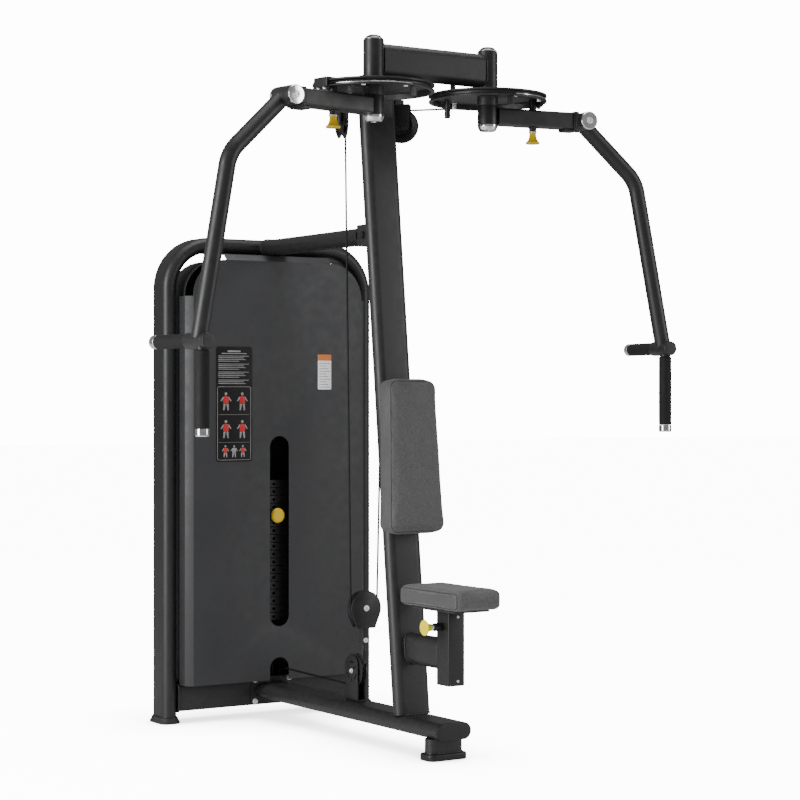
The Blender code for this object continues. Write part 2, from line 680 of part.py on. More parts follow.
def build_head_pulleys():
    """Both head pulleys hang from one bar, welded across the rear of the post."""
    bar = box((-0.112, post_y(1.952) + OVAL_THICK / 2 - 0.010, 1.952), (0.112, -0.045, 1.968))
    added = []
    for name, side in (("left", -1), ("right", 1)):
        # The plane of the pulley holds the vertical and the run of cable to the cam.
        turn = Matrix.Rotation(side * head_run(), 4, "Z")
        place = Matrix.Translation((side * HEAD_PULLEY_X, HEAD_PULLEY_Y, HEAD_PULLEY_Z)) @ turn
        spin = new_body(f"{name}_head_pulley", place.to_translation(), place.to_euler())
        part(f"head_pulley_{name}", moved(pulley_mesh(PULLEY_GROOVE, PULLEY_RADIUS), FACING_FRONT),
             NYLON, spin)
        outline = rounded_rectangle((-0.028, -0.014), (0.028, 0.066), (0.013, 0.013, 0, 0), 4)
        lid = box((-0.027, -0.0135, 0.0605), (0.027, 0.0135, 0.065))
        added += [moved(shape, place) for shape in (lid, *cheek_meshes(outline, FACING_FRONT))]
    part("head_pulley_bracket", bar, PAINT, add=added, cut=[post_clearance(1.96)])


def build_floor_pulley():
    place = Matrix.Translation((0, FLOOR_PULLEY_Y, FLOOR_PULLEY_Z))
    spin = new_body("floor_pulley", place.to_translation())
    part("floor_pulley", moved(pulley_mesh(PULLEY_GROOVE, PULLEY_RADIUS), FACING_SIDE), NYLON, spin)
    low = BEAM_TOP_Z + GAP - FLOOR_PULLEY_Z
    outline = rounded_rectangle((-0.0345, low), (0.0345, 0.048), (0, 0, 0.030, 0.030), 5)
    base = box((-0.0155, -0.0345, low), (0.0155, 0.0345, low + 0.006))
    pulley_bracket("floor_pulley_bracket", outline, FACING_SIDE, place, [moved(base, place)])


def build_tower_pulleys():
    place = Matrix.Translation((TOWER_CABLE_X, BASE_PULLEY_Y, FLOOR_PULLEY_Z))
    spin = new_body("base_pulley", place.to_translation())
    part("base_pulley", moved(pulley_mesh(PULLEY_GROOVE, PULLEY_RADIUS), FACING_SIDE), NYLON, spin)
    low = CROSS_TUBE_HIGH_Z + GAP - FLOOR_PULLEY_Z
    outline = rounded_rectangle((-0.030, low), (0.030, 0.018), (0, 0, 0.016, 0.016), 4)
    base = box((-0.0155, -0.030, low), (0.0155, 0.030, low + 0.006))
    pulley_bracket("base_pulley_bracket", outline, FACING_SIDE, place, [moved(base, place)])

    middle_y = STACK_Y + TOP_PULLEY_GROOVE
    place = Matrix.Translation((TOWER_CABLE_X, middle_y, TOP_PULLEY_Z))
    spin = new_body("top_pulley", place.to_translation())
    small = pulley_mesh(TOP_PULLEY_GROOVE, TOP_PULLEY_GROOVE + 0.0055)
    part("top_pulley", moved(small, FACING_SIDE), NYLON, spin)
    outline = rounded_rectangle((-0.016, -0.014), (0.016, TOP_BAR_LOW_Z - TOP_PULLEY_Z + 0.002),
                                (0.012, 0.012, 0, 0), 4)
    bar = box((-0.150, STACK_Y - 0.025, TOP_BAR_LOW_Z), (0.150, STACK_Y + 0.055, TOP_BAR_LOW_Z + 0.030))
    hanger = box((-0.020, STACK_Y - 0.010, TOP_BAR_LOW_Z + 0.028),
                 (0.020, STACK_Y + 0.030, TOWER_TOP_Z - OVAL_THICK - GAP))
    rods = [rod(ROD_RADIUS, (side * ROD_X, STACK_Y, CROSS_TUBE_HIGH_Z + GAP),
                (side * ROD_X, STACK_Y, TOP_BAR_LOW_Z + 0.01), 20) for side in (-1, 1)]
    pulley_bracket("guide_rod_frame", outline, FACING_SIDE, place, [bar, hanger, *rods])


def build_floating_pulley():
    body = new_body("floating_block", (0, FLOATING_Y, FLOATING_Z))
    spin = new_body("floating_pulley", (0, 0, 0), parent=body)
    part("floating_pulley", moved(pulley_mesh(PULLEY_GROOVE, PULLEY_RADIUS - 0.001), FACING_FRONT),
         NYLON, spin)
    teardrop = arc((0, 0), 0.0535, math.radians(-20), math.radians(200), 16)
    teardrop += [(-0.034, -0.058), (0.034, -0.058)]
    foot = box((-0.034, -0.0155, -0.0620), (0.034, 0.0155, -0.0555))
    clevis = box((-0.009, -0.011, -0.113), (0.009, 0.011, -0.060))
    pulley_bracket("floating_pulley_block", teardrop, FACING_FRONT, Matrix.Identity(4),
                   [foot, clevis], body)


# ---------------------------------------------------------------- weight stack

def plates_mesh(first, count):
    """A pile of plates, as one block, from plate number first downwards."""
    high = FIRST_HOLE_Z + 0.0125 - first * PLATE_PITCH
    low = high - count * PLATE_PITCH + 0.0008
    return box((-PLATE_WIDTH / 2, STACK_Y - PLATE_DEPTH / 2, low),
               (PLATE_WIDTH / 2, STACK_Y + PLATE_DEPTH / 2, high))


def stack_bores():
    bores = [rod(ROD_RADIUS + 0.001, (side * ROD_X, STACK_Y, 0.2), (side * ROD_X, STACK_Y, 0.9), 20)
             for side in (-1, 1)]
    bores.append(rod(STEM_RADIUS + 0.0006, (0, STACK_Y, 0.2), (0, STACK_Y, 0.9), 20))
    return bores


def selector_bore(height):
    return rod(SELECTOR_RADIUS + 0.0006, (0, STACK_Y - 0.1, height), (0, STACK_Y + 0.1, height), 12)


def build_stack():
    pin_z = FIRST_HOLE_Z - (SELECTED_PLATES - 1) * PLATE_PITCH
    body = new_body("weight_stack", (0, 0, 0))
    part("lower_plates", plates_mesh(SELECTED_PLATES, ALL_PLATES - SELECTED_PLATES), STEEL,
         cut=stack_bores())
    part("lifted_plates", plates_mesh(0, SELECTED_PLATES), STEEL, body,
         cut=[*stack_bores(), selector_bore(pin_z)])
    stem = rod(STEM_RADIUS, (0, STACK_Y, 0.320), (0, STACK_Y, STACK_PULLEY_Z - 0.052), 20)
    place = Matrix.Translation((0, STACK_Y, STACK_PULLEY_Z))
    outline = rounded_rectangle((-0.017, -0.060), (0.017, 0.016), (0, 0, 0.014, 0.014), 4)
    bridge = box((-0.017, -0.0155, -0.060), (0.017, 0.0155, -0.046))
    pulley_bracket("selector_stem", outline, FACING_FRONT, place, [moved(bridge, place), stem],
                   body, [selector_bore(pin_z)], CHROME)
    spin = new_body("stack_pulley", place.to_translation(), parent=body)
    wheel = pulley_mesh(STACK_PULLEY_GROOVE, STACK_PULLEY_GROOVE + 0.0055)
    part("stack_pulley", moved(wheel, FACING_FRONT), NYLON, spin)

    pin_body = new_body("selector_pin", (0, 0, 0), parent=body)
    knob_y = SHROUD_FRONT_Y + 0.0065
    pin = turned([(0, 0), (0.019, -0.001), (0.025, -0.006), (0.025, -0.010), (0.012, -0.020),
                  (0.010, -0.030), (SELECTOR_RADIUS, -0.032), (SELECTOR_RADIUS, -0.1135),
                  (0.002, -0.1175), (0, -0.1175)], 20)
    turn = Matrix.Translation((0, knob_y, pin_z)) @ Matrix.Rotation(math.radians(90), 4, "X")
    part("selector_pin", moved(pin, turn), YELLOW, pin_body)


# ---------------------------------------------------------------- shrouds

def shroud_outline(inset):
    corner = SHROUD_CORNER - inset
    low = SHROUD_LOW_Z - 10 * inset
    return rounded_rectangle((-SHROUD_HALF_WIDTH + inset, low),
                             (SHROUD_HALF_WIDTH - inset, SHROUD_HIGH_Z - inset), (0, 0, corner, corner), 8)


def tray(front, rear, hollow_front, hollow_rear):
    """The outer block of a shroud and the block that hollows it out."""
    block = moved(prism([shroud_outline(0)], rear - front, FACING_FRONT), Matrix.Translation((0, rear, 0)))
    hollow = prism([shroud_outline(SHROUD_SHEET)], hollow_rear - hollow_front, FACING_FRONT)
    return block, moved(hollow, Matrix.Translation((0, hollow_rear, 0)))


def upright_slot(low, high, depth=0.02):
    outline = rounded_rectangle((-SLOT_HALF_WIDTH, low), (SLOT_HALF_WIDTH, high), SLOT_HALF_WIDTH - 0.0001, 7)
    cutter = prism([outline], depth, FACING_FRONT)
    return moved(cutter, Matrix.Translation((0, SHROUD_FRONT_Y + depth / 2, 0)))


def build_shrouds():
    block, hollow = tray(SHROUD_FRONT_Y, SHROUD_SEAM_Y - GAP, SHROUD_FRONT_Y + SHROUD_SHEET, 0.60)
    slots = [upright_slot(SLOT_LOW_Z, SLOT_HIGH_Z), upright_slot(SHROUD_LOW_Z - 0.08, NOTCH_HIGH_Z)]
    part("front_shroud", block, SHEET, cut=[hollow, *slots])
    block, hollow = tray(SHROUD_SEAM_Y, SHROUD_REAR_Y, 0.54, SHROUD_REAR_Y - SHROUD_SHEET)
    opening = box((-0.024, 0.568, 1.48), (0.024, 0.622, 1.51))
    part("rear_shroud", block, SHEET, cut=[hollow, opening])
    hook = box((-0.047, 0.5445, SHROUD_HIGH_Z + GAP), (0.047, 0.570, TOWER_TOP_Z - OVAL_THICK - GAP))
    part("shroud_hook", hook, PAINT)


# ---------------------------------------------------------------- back pad and seat

def back_outline(inset):
    """The pad seen from the front: a tapered rectangle with round corners."""
    low = PAD_LOW_WIDTH / 2 - inset
    high = PAD_HIGH_WIDTH / 2 - inset
    corners = [(-low, PAD_LOW_Z + inset), (low, PAD_LOW_Z + inset), (high, PAD_HIGH_Z - inset),
               (-high, PAD_HIGH_Z - inset)]
    start = (0, PAD_LOW_Z + inset)
    return filleted([start, corners[1], corners[2], corners[3], corners[0], start], 0.030 - inset, 5)[:-1]


def build_back_pad():
    slope = (PAD_FACE_HIGH_Y - PAD_FACE_LOW_Y) / (PAD_HIGH_Z - PAD_LOW_Z)
    rear_y = PAD_FACE_LOW_Y + PAD_THICK
    pad = prism([back_outline(0)], PAD_THICK, FACING_FRONT)
    part("back_pad", moved(pad, leaning(slope, rear_y, PAD_LOW_Z)), VINYL)
    board = prism([back_outline(0.012)], 0.009, FACING_FRONT)
    board_lean = leaning(slope, rear_y + 0.009 + GAP, PAD_LOW_Z)
    spacers = [box((-0.030, 0.004, height - 0.030), (0.030, 0.040, height + 0.030))
               for height in (0.740, 1.010)]
    for spacer in spacers:
        spacer.transform(leaning(slope, rear_y, PAD_LOW_Z))
    part("back_pad_board", moved(board, board_lean), PAINT, add=spacers,
         cut=[post_clearance(0.875)], solver="MANIFOLD")


def build_seat():
    middle_y = SLEEVE_FRONT_Y + SLEEVE_Y / 2
    half_x = SLEEVE_X / 2
    half_y = SLEEVE_Y / 2
    outer = rounded_rectangle((-half_x, -half_y), (half_x, half_y), 0.005, 3)
    inner = rounded_rectangle((-half_x + WALL, -half_y + WALL), (half_x - WALL, half_y - WALL), 0.002, 3)
    at_sleeve = Matrix.Translation((0, middle_y, SLEEVE_LOW_Z))
    sleeve = moved(prism([outer, inner], SLEEVE_HIGH_Z - SLEEVE_LOW_Z), at_sleeve)
    pin_y = middle_y + 0.004
    housing = rod(0.0115, (-0.056, pin_y, SEAT_PIN_Z), (-half_x + 0.002, pin_y, SEAT_PIN_Z), 20)
    housing_bore = rod(0.0055, (-0.070, pin_y, SEAT_PIN_Z), (-0.020, pin_y, SEAT_PIN_Z), 16)
    part("seat_sleeve", sleeve, PAINT, add=[housing], cut=[housing_bore])

    stub = bent_bar([(0, middle_y + half_y + GAP), (0, post_y(SEAT_BRACKET_Z))], OVAL_CROSS - 0.008,
                    OVAL_THICK, Matrix.Translation((0, 0, SEAT_BRACKET_Z)))
    part("seat_bracket", stub, PAINT, cut=[post_clearance(SEAT_BRACKET_Z)])

    body = new_body("seat", (0, 0, 0))
    slack = WALL + GAP
    tube_x = half_x - slack
    tube_y = half_y - slack
    seat_low_z = SEAT_HIGH_Z - SEAT_THICK
    outer = rounded_rectangle((-tube_x, -tube_y), (tube_x, tube_y), 0.002, 3)
    inner = rounded_rectangle((-tube_x + WALL, -tube_y + WALL), (tube_x - WALL, tube_y - WALL), 0.001, 3)
    tube = prism([outer, inner], seat_low_z - 0.006 - 0.240)
    tube.transform(Matrix.Translation((0, middle_y, 0.240)))
    plate = box((-0.060, -0.620, seat_low_z - 0.008), (0.060, -0.400, seat_low_z - GAP))
    holes = [rod(0.006, (-0.050, pin_y, SEAT_PIN_Z - step * SEAT_STEP),
                 (-0.010, pin_y, SEAT_PIN_Z - step * SEAT_STEP), 12) for step in range(5)]
    part("seat_tube", tube, CHROME, body, add=[plate], cut=holes)
    outline = rounded_rectangle((-SEAT_WIDTH / 2, SEAT_FRONT_Y), (SEAT_WIDTH / 2, SEAT_REAR_Y), 0.026, 5)
    part("seat_pad", moved(prism([outline], SEAT_THICK), Matrix.Translation((0, 0, seat_low_z))), VINYL, body)

    pin_body = new_body("seat_pull_pin", (0, 0, 0))
    pin = turned([(0, 0.0915), (0.021, 0.0905), (0.023, 0.0885), (0.023, 0.0865), (0.019, 0.0845),
                  (0.012, 0.0795), (0.0105, 0.0665), (0.005, 0.0660), (0.005, 0.0290),
                  (0.0035, 0.0252), (0, 0.0252)], 20)
    turn = Matrix.Translation((0, pin_y, SEAT_PIN_Z)) @ Matrix.Rotation(math.radians(-90), 4, "Y")
    part("seat_pull_pin", moved(pin, turn), YELLOW, pin_body)


# ---------------------------------------------------------------- cables

def in_plane(points, origin, axes):
    """Flat points set in space: the matrix turns them and origin moves them."""
    return [axes @ Vector((*point, 0)) + Vector(origin) for point in points]


def build_cables():
    for name, side in (("left", -1), ("right", 1)):
        turn = Matrix.Rotation(side * head_run(), 4, "Z")
        axes = turn @ FACING_FRONT
        # The left cable runs the other way over its pulley, seen in the pulley's own axes.
        start, end = (math.pi, math.pi / 2) if side > 0 else (0, math.pi / 2)
        over = arc((0, 0), PULLEY_GROOVE, start, end, 6)
        path = in_plane(over, (side * HEAD_PULLEY_X, HEAD_PULLEY_Y, HEAD_PULLEY_Z), axes)
        tangent = head_run() + math.pi / 2
        around = arc((PIVOT_X, PIVOT_Y), CABLE_ON_CAM, tangent, math.radians(-50), 18)
        path += [Vector((side * x, y, GROOVE_Z)) for x, y in around]
        part(f"cable_head_{name}", cable(path), ROPE)

    hang_x = HEAD_PULLEY_X - PULLEY_GROOVE * math.cos(head_run())
    hang_y = HEAD_PULLEY_Y - PULLEY_GROOVE * math.sin(head_run())
    hang_z = HEAD_PULLEY_Z - CABLE_GAP
    under = arc((0, 0), PULLEY_GROOVE, math.pi, math.tau, 12)
    path = [Vector((-hang_x, hang_y, hang_z))]
    path += in_plane(under, (0, FLOATING_Y, FLOATING_Z), FACING_FRONT)
    path.append(Vector((hang_x, hang_y, hang_z)))
    part("cable_arms", cable(path), ROPE)

    front_y = FLOOR_PULLEY_Y - PULLEY_GROOVE
    link = [Vector((0, front_y, FLOATING_Z - 0.113 - GAP)), Vector((0, front_y, FLOOR_PULLEY_Z + CABLE_GAP))]
    part("cable_link", cable(link), ROPE)

    path = in_plane(arc((0, 0), PULLEY_GROOVE, math.pi, 1.5 * math.pi, 6),
                    (0, FLOOR_PULLEY_Y, FLOOR_PULLEY_Z), FACING_SIDE)
    path += in_plane(arc((0, 0), PULLEY_GROOVE, 1.5 * math.pi, math.tau, 6),
                     (TOWER_CABLE_X, BASE_PULLEY_Y, FLOOR_PULLEY_Z), FACING_SIDE)
    path += in_plane(arc((0, 0), TOP_PULLEY_GROOVE, 0, math.pi, 8),
                     (TOWER_CABLE_X, STACK_Y + TOP_PULLEY_GROOVE, TOP_PULLEY_Z), FACING_SIDE)
    part("cable_tower", cable(path), ROPE)

    path = [Vector((-STACK_PULLEY_GROOVE, STACK_Y, TOP_BAR_LOW_Z - GAP))]
    path += in_plane(arc((0, 0), STACK_PULLEY_GROOVE, math.pi, math.tau, 10),
                     (0, STACK_Y, STACK_PULLEY_Z), FACING_FRONT)
    path.append(Vector((STACK_PULLEY_GROOVE, STACK_Y, TOP_PULLEY_Z - CABLE_GAP)))
    part("cable_stack", cable(path), ROPE)


def build_everything():
    build_tower()
    build_base()
    build_post()
    build_head()
    build_left_arm(build_right_arm())
    build_head_pulleys()
    build_floor_pulley()
    build_tower_pulleys()
    build_floating_pulley()
    build_stack()
    build_shrouds()
    build_back_pad()
    build_seat()
    build_cables()


build_everything()
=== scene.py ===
"""Looks for the pec fly and rear delt machine: smooth forms, finishes, pads, cables, light and camera."""
import math

import bmesh
import bpy
from mathutils import Matrix, Vector
from mathutils.bvhtree import BVHTree


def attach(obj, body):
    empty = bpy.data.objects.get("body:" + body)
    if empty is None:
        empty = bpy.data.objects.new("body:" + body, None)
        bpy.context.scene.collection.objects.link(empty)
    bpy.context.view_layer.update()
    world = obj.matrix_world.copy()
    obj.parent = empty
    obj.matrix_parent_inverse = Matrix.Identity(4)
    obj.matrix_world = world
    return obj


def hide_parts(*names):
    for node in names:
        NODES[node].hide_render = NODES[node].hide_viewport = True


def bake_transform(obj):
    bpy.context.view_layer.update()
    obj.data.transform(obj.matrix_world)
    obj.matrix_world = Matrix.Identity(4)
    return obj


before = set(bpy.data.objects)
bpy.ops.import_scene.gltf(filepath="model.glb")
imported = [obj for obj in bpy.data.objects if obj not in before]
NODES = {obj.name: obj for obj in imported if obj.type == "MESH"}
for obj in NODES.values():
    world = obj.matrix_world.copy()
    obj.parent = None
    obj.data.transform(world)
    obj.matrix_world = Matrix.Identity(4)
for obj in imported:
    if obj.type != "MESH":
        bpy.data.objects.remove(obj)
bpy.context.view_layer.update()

# ---------------------------------------------------------------- sizes, as in the CAD

OVAL_WIDE = 0.12
OVAL_THICK = 0.05
PIVOT = Vector((0.2006, -0.411, 0))
ARM_SWEEP = math.radians(8.86)
ELBOW = Vector((0.321, 0, 1.888))
HANDLE = Vector((0.6115, 0, 1.2023))
TOWER_Y = 0.595
BEAM_Z = 0.0866
BRACE_Z = 1.546
HEAD_Z = 2.009
CROSS_Z = 2.021
PIN_CIRCLE = 0.1515
STUB_Z = 0.306
SEAT_PIN = (-0.506, 0.389)
STACK_Y = 0.585
ROD_X = 0.12
CABLE_RADIUS = 0.003
CABLE_Z = 1.939
CAM_GROOVE = 0.1713
GROOVE = 0.047
TOP_GROOVE = 0.03275
STACK_GROOVE = 0.035
CHEEK_REACH = 0.0155
AXLE_BOLT = 0.013
FLOOR_PULLEY = (0, 0.012, 0.205)
BASE_PULLEY = (0.035, 0.6035, 0.205)
TOP_PULLEY = (0.035, 0.61775, 1.4)
STACK_PULLEY = (0, STACK_Y, 0.905)
FLOATING_PULLEY = (0, -0.035, 0.403)
HEAD_PULLEY = Vector((0.108, -0.08, 1.889))
HEAD_RUN = (math.atan2(PIVOT.y - HEAD_PULLEY.y, PIVOT.x - HEAD_PULLEY.x)
            + math.asin(CAM_GROOVE / math.hypot(PIVOT.x - HEAD_PULLEY.x, PIVOT.y - HEAD_PULLEY.y)))
POST_SLOPE = math.tan(math.radians(6.14))
PLATE_PITCH = 0.0258
SELECTOR_Z = 0.6628
SELECTOR_R = 0.0042

AMBIENT = 0.28
BACKDROP = 14.0
FLOOR_GLOW = 12.0

FACING_SIDE = Matrix(((0, 0, 1, 0), (1, 0, 0, 0), (0, 1, 0, 0), (0, 0, 0, 1)))
FACING_FRONT = Matrix(((1, 0, 0, 0), (0, 0, -1, 0), (0, 1, 0, 0), (0, 0, 0, 1)))
FACING_REAR = Matrix(((0, 1, 0, 0), (0, 0, 1, 0), (1, 0, 0, 0), (0, 0, 0, 1)))
ALONG_Y = Matrix.Rotation(math.radians(90), 4, "X")
SIDES = (("left", -1), ("right", 1))


def at(x, y, z):
    return Matrix.Translation((x, y, z))


def leaning(slope, start):
    """A shear that sets y to start plus slope times z."""
    matrix = Matrix.Identity(4)
    matrix[1][2] = slope
    matrix[1][3] = start
    return matrix


def post_y(height):
    """Y of the post's centre line at a height."""
    return -0.303 + (height - 0.1116) * POST_SLOPE


# ---------------------------------------------------------------- materials

def add_node(tree, kind, inputs=None, **settings):
    """A shader node; each input is a value, or a socket to link from."""
    node = tree.nodes.new(kind)
    for key, value in settings.items():
        setattr(node, key, value)
    for key, value in (inputs or {}).items():
        if isinstance(value, bpy.types.NodeSocket):
            tree.links.new(value, node.inputs[key])
        else:
            node.inputs[key].default_value = value
    return node


def ramp(tree, factor, low, high, start=0.3, end=0.7):
    """A blend between two colours over part of a factor's range."""
    node = add_node(tree, "ShaderNodeValToRGB", {"Fac": factor})
    node.color_ramp.elements[0].position = start
    node.color_ramp.elements[0].color = (*low, 1)
    node.color_ramp.elements[1].position = end
    node.color_ramp.elements[1].color = (*high, 1)
    return node.outputs["Color"]


def spread(tree, factor, low, high):
    """The factor's 0.3 to 0.7 moved to a range of numbers."""
    node = add_node(tree, "ShaderNodeMapRange", {"Value": factor, "From Min": 0.3, "From Max": 0.7,
                                                 "To Min": low, "To Max": high})
    return node.outputs["Result"]


def speckle(tree, place, scale, detail=2.0):
    inputs = {"Vector": place, "Scale": scale, "Detail": detail}
    return add_node(tree, "ShaderNodeTexNoise", inputs).outputs["Fac"]


def maths(tree, operation, *values):
    """A sum or product of numbers and sockets."""
    return add_node(tree, "ShaderNodeMath", dict(enumerate(values)), operation=operation).outputs[0]


def grey(value):
    return (value, value, value)


def surface(name, metallic=0.0, **sockets):
    """A material with its shader and the object-space position that its textures use."""
    material = bpy.data.materials.new(name)
    material.use_nodes = True
    tree = material.node_tree
    shader = tree.nodes["Principled BSDF"]
    shader.inputs["Metallic"].default_value = metallic
    for key, value in sockets.items():
        shader.inputs[key.replace("_", " ")].default_value = value
    place = add_node(tree, "ShaderNodeTexCoord").outputs["Object"]
    return material, tree, shader, place


def finish(tree, shader, colour, roughness, height, strength, distance):
    """Links colour, roughness and a bump made from height."""
    tree.links.new(colour, shader.inputs["Base Color"])
    tree.links.new(roughness, shader.inputs["Roughness"])
    bump = add_node(tree, "ShaderNodeBump", {"Height": height, "Strength": strength, "Distance": distance})
    tree.links.new(bump.outputs["Normal"], shader.inputs["Normal"])


def powder_coat(name, dark, light, rough_low, rough_high, wear_and_highlight):
    """Sprayed and baked paint: orange peel, slow changes of tone, and paler edges that are partly rubbing
    wear and partly a painted edge highlight.
    """
    material, tree, shader, place = surface(name)
    tone = ramp(tree, speckle(tree, place, 5.0, 4.0), dark, light)
    scuffs = speckle(tree, place, 38.0, 6.0)
    # Pointiness picks out sharp edges. The paler grey mixed in there in patches is partly rubbing wear and
    # partly a painted edge highlight.
    edge = add_node(tree, "ShaderNodeNewGeometry").outputs["Pointiness"]
    edge = add_node(tree, "ShaderNodeMapRange", {"Value": edge, "From Min": 0.54, "From Max": 0.66})
    wear_and_highlight_mask = maths(tree, "MULTIPLY", edge.outputs["Result"], scuffs)
    colour = add_node(tree, "ShaderNodeMix", {"Factor": wear_and_highlight_mask, "A": tone, "B": (*wear_and_highlight, 1)}, data_type="RGBA")
    roughness = spread(tree, scuffs, rough_low, rough_high)
    peel = speckle(tree, place, 620.0, 1.0)
    finish(tree, shader, colour.outputs["Result"], roughness, peel, 0.05, 0.0006)
    return material


def polished(name, colour, dull, rough_low, rough_high, metallic=1.0):
    """Plated steel with fine rubbing marks."""
    material, tree, shader, place = surface(name, metallic)
    marks = speckle(tree, place, 55.0, 8.0)
    finish(tree, shader, ramp(tree, marks, dull, colour), spread(tree, marks, rough_low, rough_high),
           speckle(tree, place, 300.0, 4.0), 0.04, 0.0003)
    return material


def grained_vinyl(name, dark, light, strength):
    """Upholstery vinyl: leather-like cells, a fine fleck and a slow change of tone."""
    material, tree, shader, place = surface(name, Sheen_Weight=0.12, Sheen_Roughness=0.5)
    cells = add_node(tree, "ShaderNodeTexVoronoi", {"Vector": place, "Scale": 520.0}).outputs["Distance"]
    fleck = speckle(tree, place, 420.0, 3.0)
    slow = speckle(tree, place, 9.0, 3.0)
    share = maths(tree, "MULTIPLY", slow, 0.2)
    mixed = maths(tree, "MULTIPLY_ADD", fleck, 0.8, share)
    height = maths(tree, "ADD", cells, fleck)
    finish(tree, shader, ramp(tree, mixed, dark, light, 0.4, 0.6), spread(tree, slow, 0.58, 0.72),
           height, strength, 0.0008)
    return material


def moulded(name, dark, light, rough_low, rough_high, grain, strength, **sockets):
    """Rubber or plastic with a moulded grain."""
    material, tree, shader, place = surface(name, **sockets)
    slow = speckle(tree, place, 24.0, 4.0)
    finish(tree, shader, ramp(tree, slow, dark, light), spread(tree, slow, rough_low, rough_high),
           speckle(tree, place, grain, 2.0), strength, 0.0006)
    return material


PAINT = powder_coat("black_powder_coat", (0.01, 0.01, 0.0105), (0.014, 0.014, 0.0145),
                    0.4, 0.5, grey(0.05))
SHEET = powder_coat("charcoal_sheet", (0.026, 0.0265, 0.029), (0.032, 0.0325, 0.035),
                    0.46, 0.58, grey(0.07))
IRON = powder_coat("stack_plates", grey(0.006), (0.01, 0.01, 0.011),
                   0.42, 0.58, grey(0.09))
CHROME = polished("chrome", (0.86, 0.86, 0.87), (0.7, 0.7, 0.72), 0.06, 0.16)
ZINC = polished("zinc_bolt", (0.95, 0.95, 0.94), (0.78, 0.78, 0.79), 0.22, 0.4, 0.4)
VINYL = grained_vinyl("grey_vinyl", (0.07, 0.07, 0.071), (0.134, 0.134, 0.136), 0.5)
SIDE_VINYL = grained_vinyl("smooth_grey_vinyl", (0.062, 0.062, 0.063), (0.08, 0.08, 0.081), 0.15)
SEAM_CORD = moulded("pad_seam", grey(0.012), grey(0.02), 0.45, 0.6, 700.0, 0.2)
FOAM = moulded("grip_foam", grey(0.007), grey(0.011), 0.62, 0.8, 1100.0, 0.4,
               Specular_IOR_Level=0.3)
RUBBER = moulded("foot_rubber", grey(0.016), (0.026, 0.026, 0.025), 0.55, 0.75, 500.0, 0.35)
YELLOW = moulded("yellow_knob", (0.66, 0.43, 0.004), (0.8, 0.55, 0.008), 0.26, 0.4, 260.0, 0.08)
SEAT_YELLOW = moulded("yellow_seat_knob", (0.94, 0.78, 0.002), (1.00, 0.88, 0.004), 0.45, 0.6, 260.0, 0.08,
                      Specular_IOR_Level=0.15)
NYLON = moulded("pulley_nylon", (0.012, 0.012, 0.013), (0.02, 0.02, 0.021), 0.32, 0.46, 300.0, 0.12)
JACKET = moulded("cable_jacket", grey(0.005), grey(0.009), 0.45, 0.6, 800.0, 0.2,
                 Specular_IOR_Level=0.25)
PLACARD = moulded("placard_black", grey(0.005), (0.009, 0.008, 0.008), 0.45, 0.55, 900.0, 0.1,
                  Specular_IOR_Level=0.25)
PRINT_GREY = moulded("print_grey", grey(0.22), grey(0.34), 0.45, 0.6, 900.0, 0.1)
PRINT_RED = moulded("print_red", (0.42, 0.01, 0.012), (0.6, 0.02, 0.022), 0.4, 0.55, 900.0, 0.1)
PRINT_ORANGE = moulded("print_orange", (0.6, 0.16, 0.012), (0.68, 0.2, 0.02), 0.4, 0.55, 900.0, 0.1)
PRINT_WHITE = moulded("print_white", (0.9, 0.9, 0.89), (0.96, 0.96, 0.95), 0.4, 0.55, 900.0, 0.1)


def studio_floor():
    """A white floor that glows to the camera as brightly as the backdrop; its soft shadows are mostly
    painted, where ambient occlusion dims the glow near the object.
    """
    material, tree, shader, place = surface("pale_floor")
    slow = speckle(tree, place, 60.0)
    colour = ramp(tree, slow, grey(0.86), grey(0.89))
    finish(tree, shader, colour, spread(tree, slow, 0.75, 0.9), slow, 0.02, 0.0006)
    shader.inputs["Emission Color"].default_value = (1, 1, 1, 1)
    seen = add_node(tree, "ShaderNodeLightPath").outputs["Is Camera Ray"]
    # Painted shadow: ambient occlusion dims the camera-seen glow near the object, down to a fifth of full
    # glow.
    painted_shadow_ao = add_node(tree, "ShaderNodeAmbientOcclusion", {"Distance": 0.35}).outputs["AO"]
    glow_with_painted_shadow = add_node(tree, "ShaderNodeMapRange", {"Value": painted_shadow_ao, "From Min": 0.35,
                                                      "To Min": FLOOR_GLOW * 0.2, "To Max": FLOOR_GLOW})
    glow = maths(tree, "MULTIPLY", seen, glow_with_painted_shadow.outputs["Result"])
    tree.links.new(glow, shader.inputs["Emission Strength"])
    return material


FLOOR = studio_floor()


# ---------------------------------------------------------------- outlines

def arc(centre, radius, start, end, steps):
    points = []
    for step in range(steps + 1):
        angle = start + (end - start) * step / steps
        points.append((centre[0] + radius * math.cos(angle), centre[1] + radius * math.sin(angle)))
    return points


def circle(radius, steps=48, centre=(0, 0)):
    return arc(centre, radius, 0, math.tau, steps)[:-1]


def rounded_rectangle(low, high, radius, steps=6):
    """An anticlockwise outline; radius is one number, or one for each corner from low left."""
    radii = radius if isinstance(radius, tuple) else (radius,) * 4
    corners = ((low[0], low[1], 1, 1), (high[0], low[1], -1, 1),
               (high[0], high[1], -1, -1), (low[0], high[1], 1, -1))
    points = []
    for index, (x, y, step_x, step_y) in enumerate(corners):
        size = max(radii[index], 0.0001)
        start = math.pi * (1 + index / 2)
        points += arc((x + step_x * size, y + step_y * size), size, start, start + math.pi / 2, steps)
    return points


def centred(half_x, half_y, radius, steps=6):
    """A rounded rectangle around the origin."""
    return rounded_rectangle((-half_x, -half_y), (half_x, half_y), radius, steps)


def flat_oval(wide, thick, steps=14):
    """A flat-oval section: thick in x, wide in y."""
    return rounded_rectangle((-thick / 2, -wide / 2), (thick / 2, wide / 2), thick / 2 - 0.0001, steps)


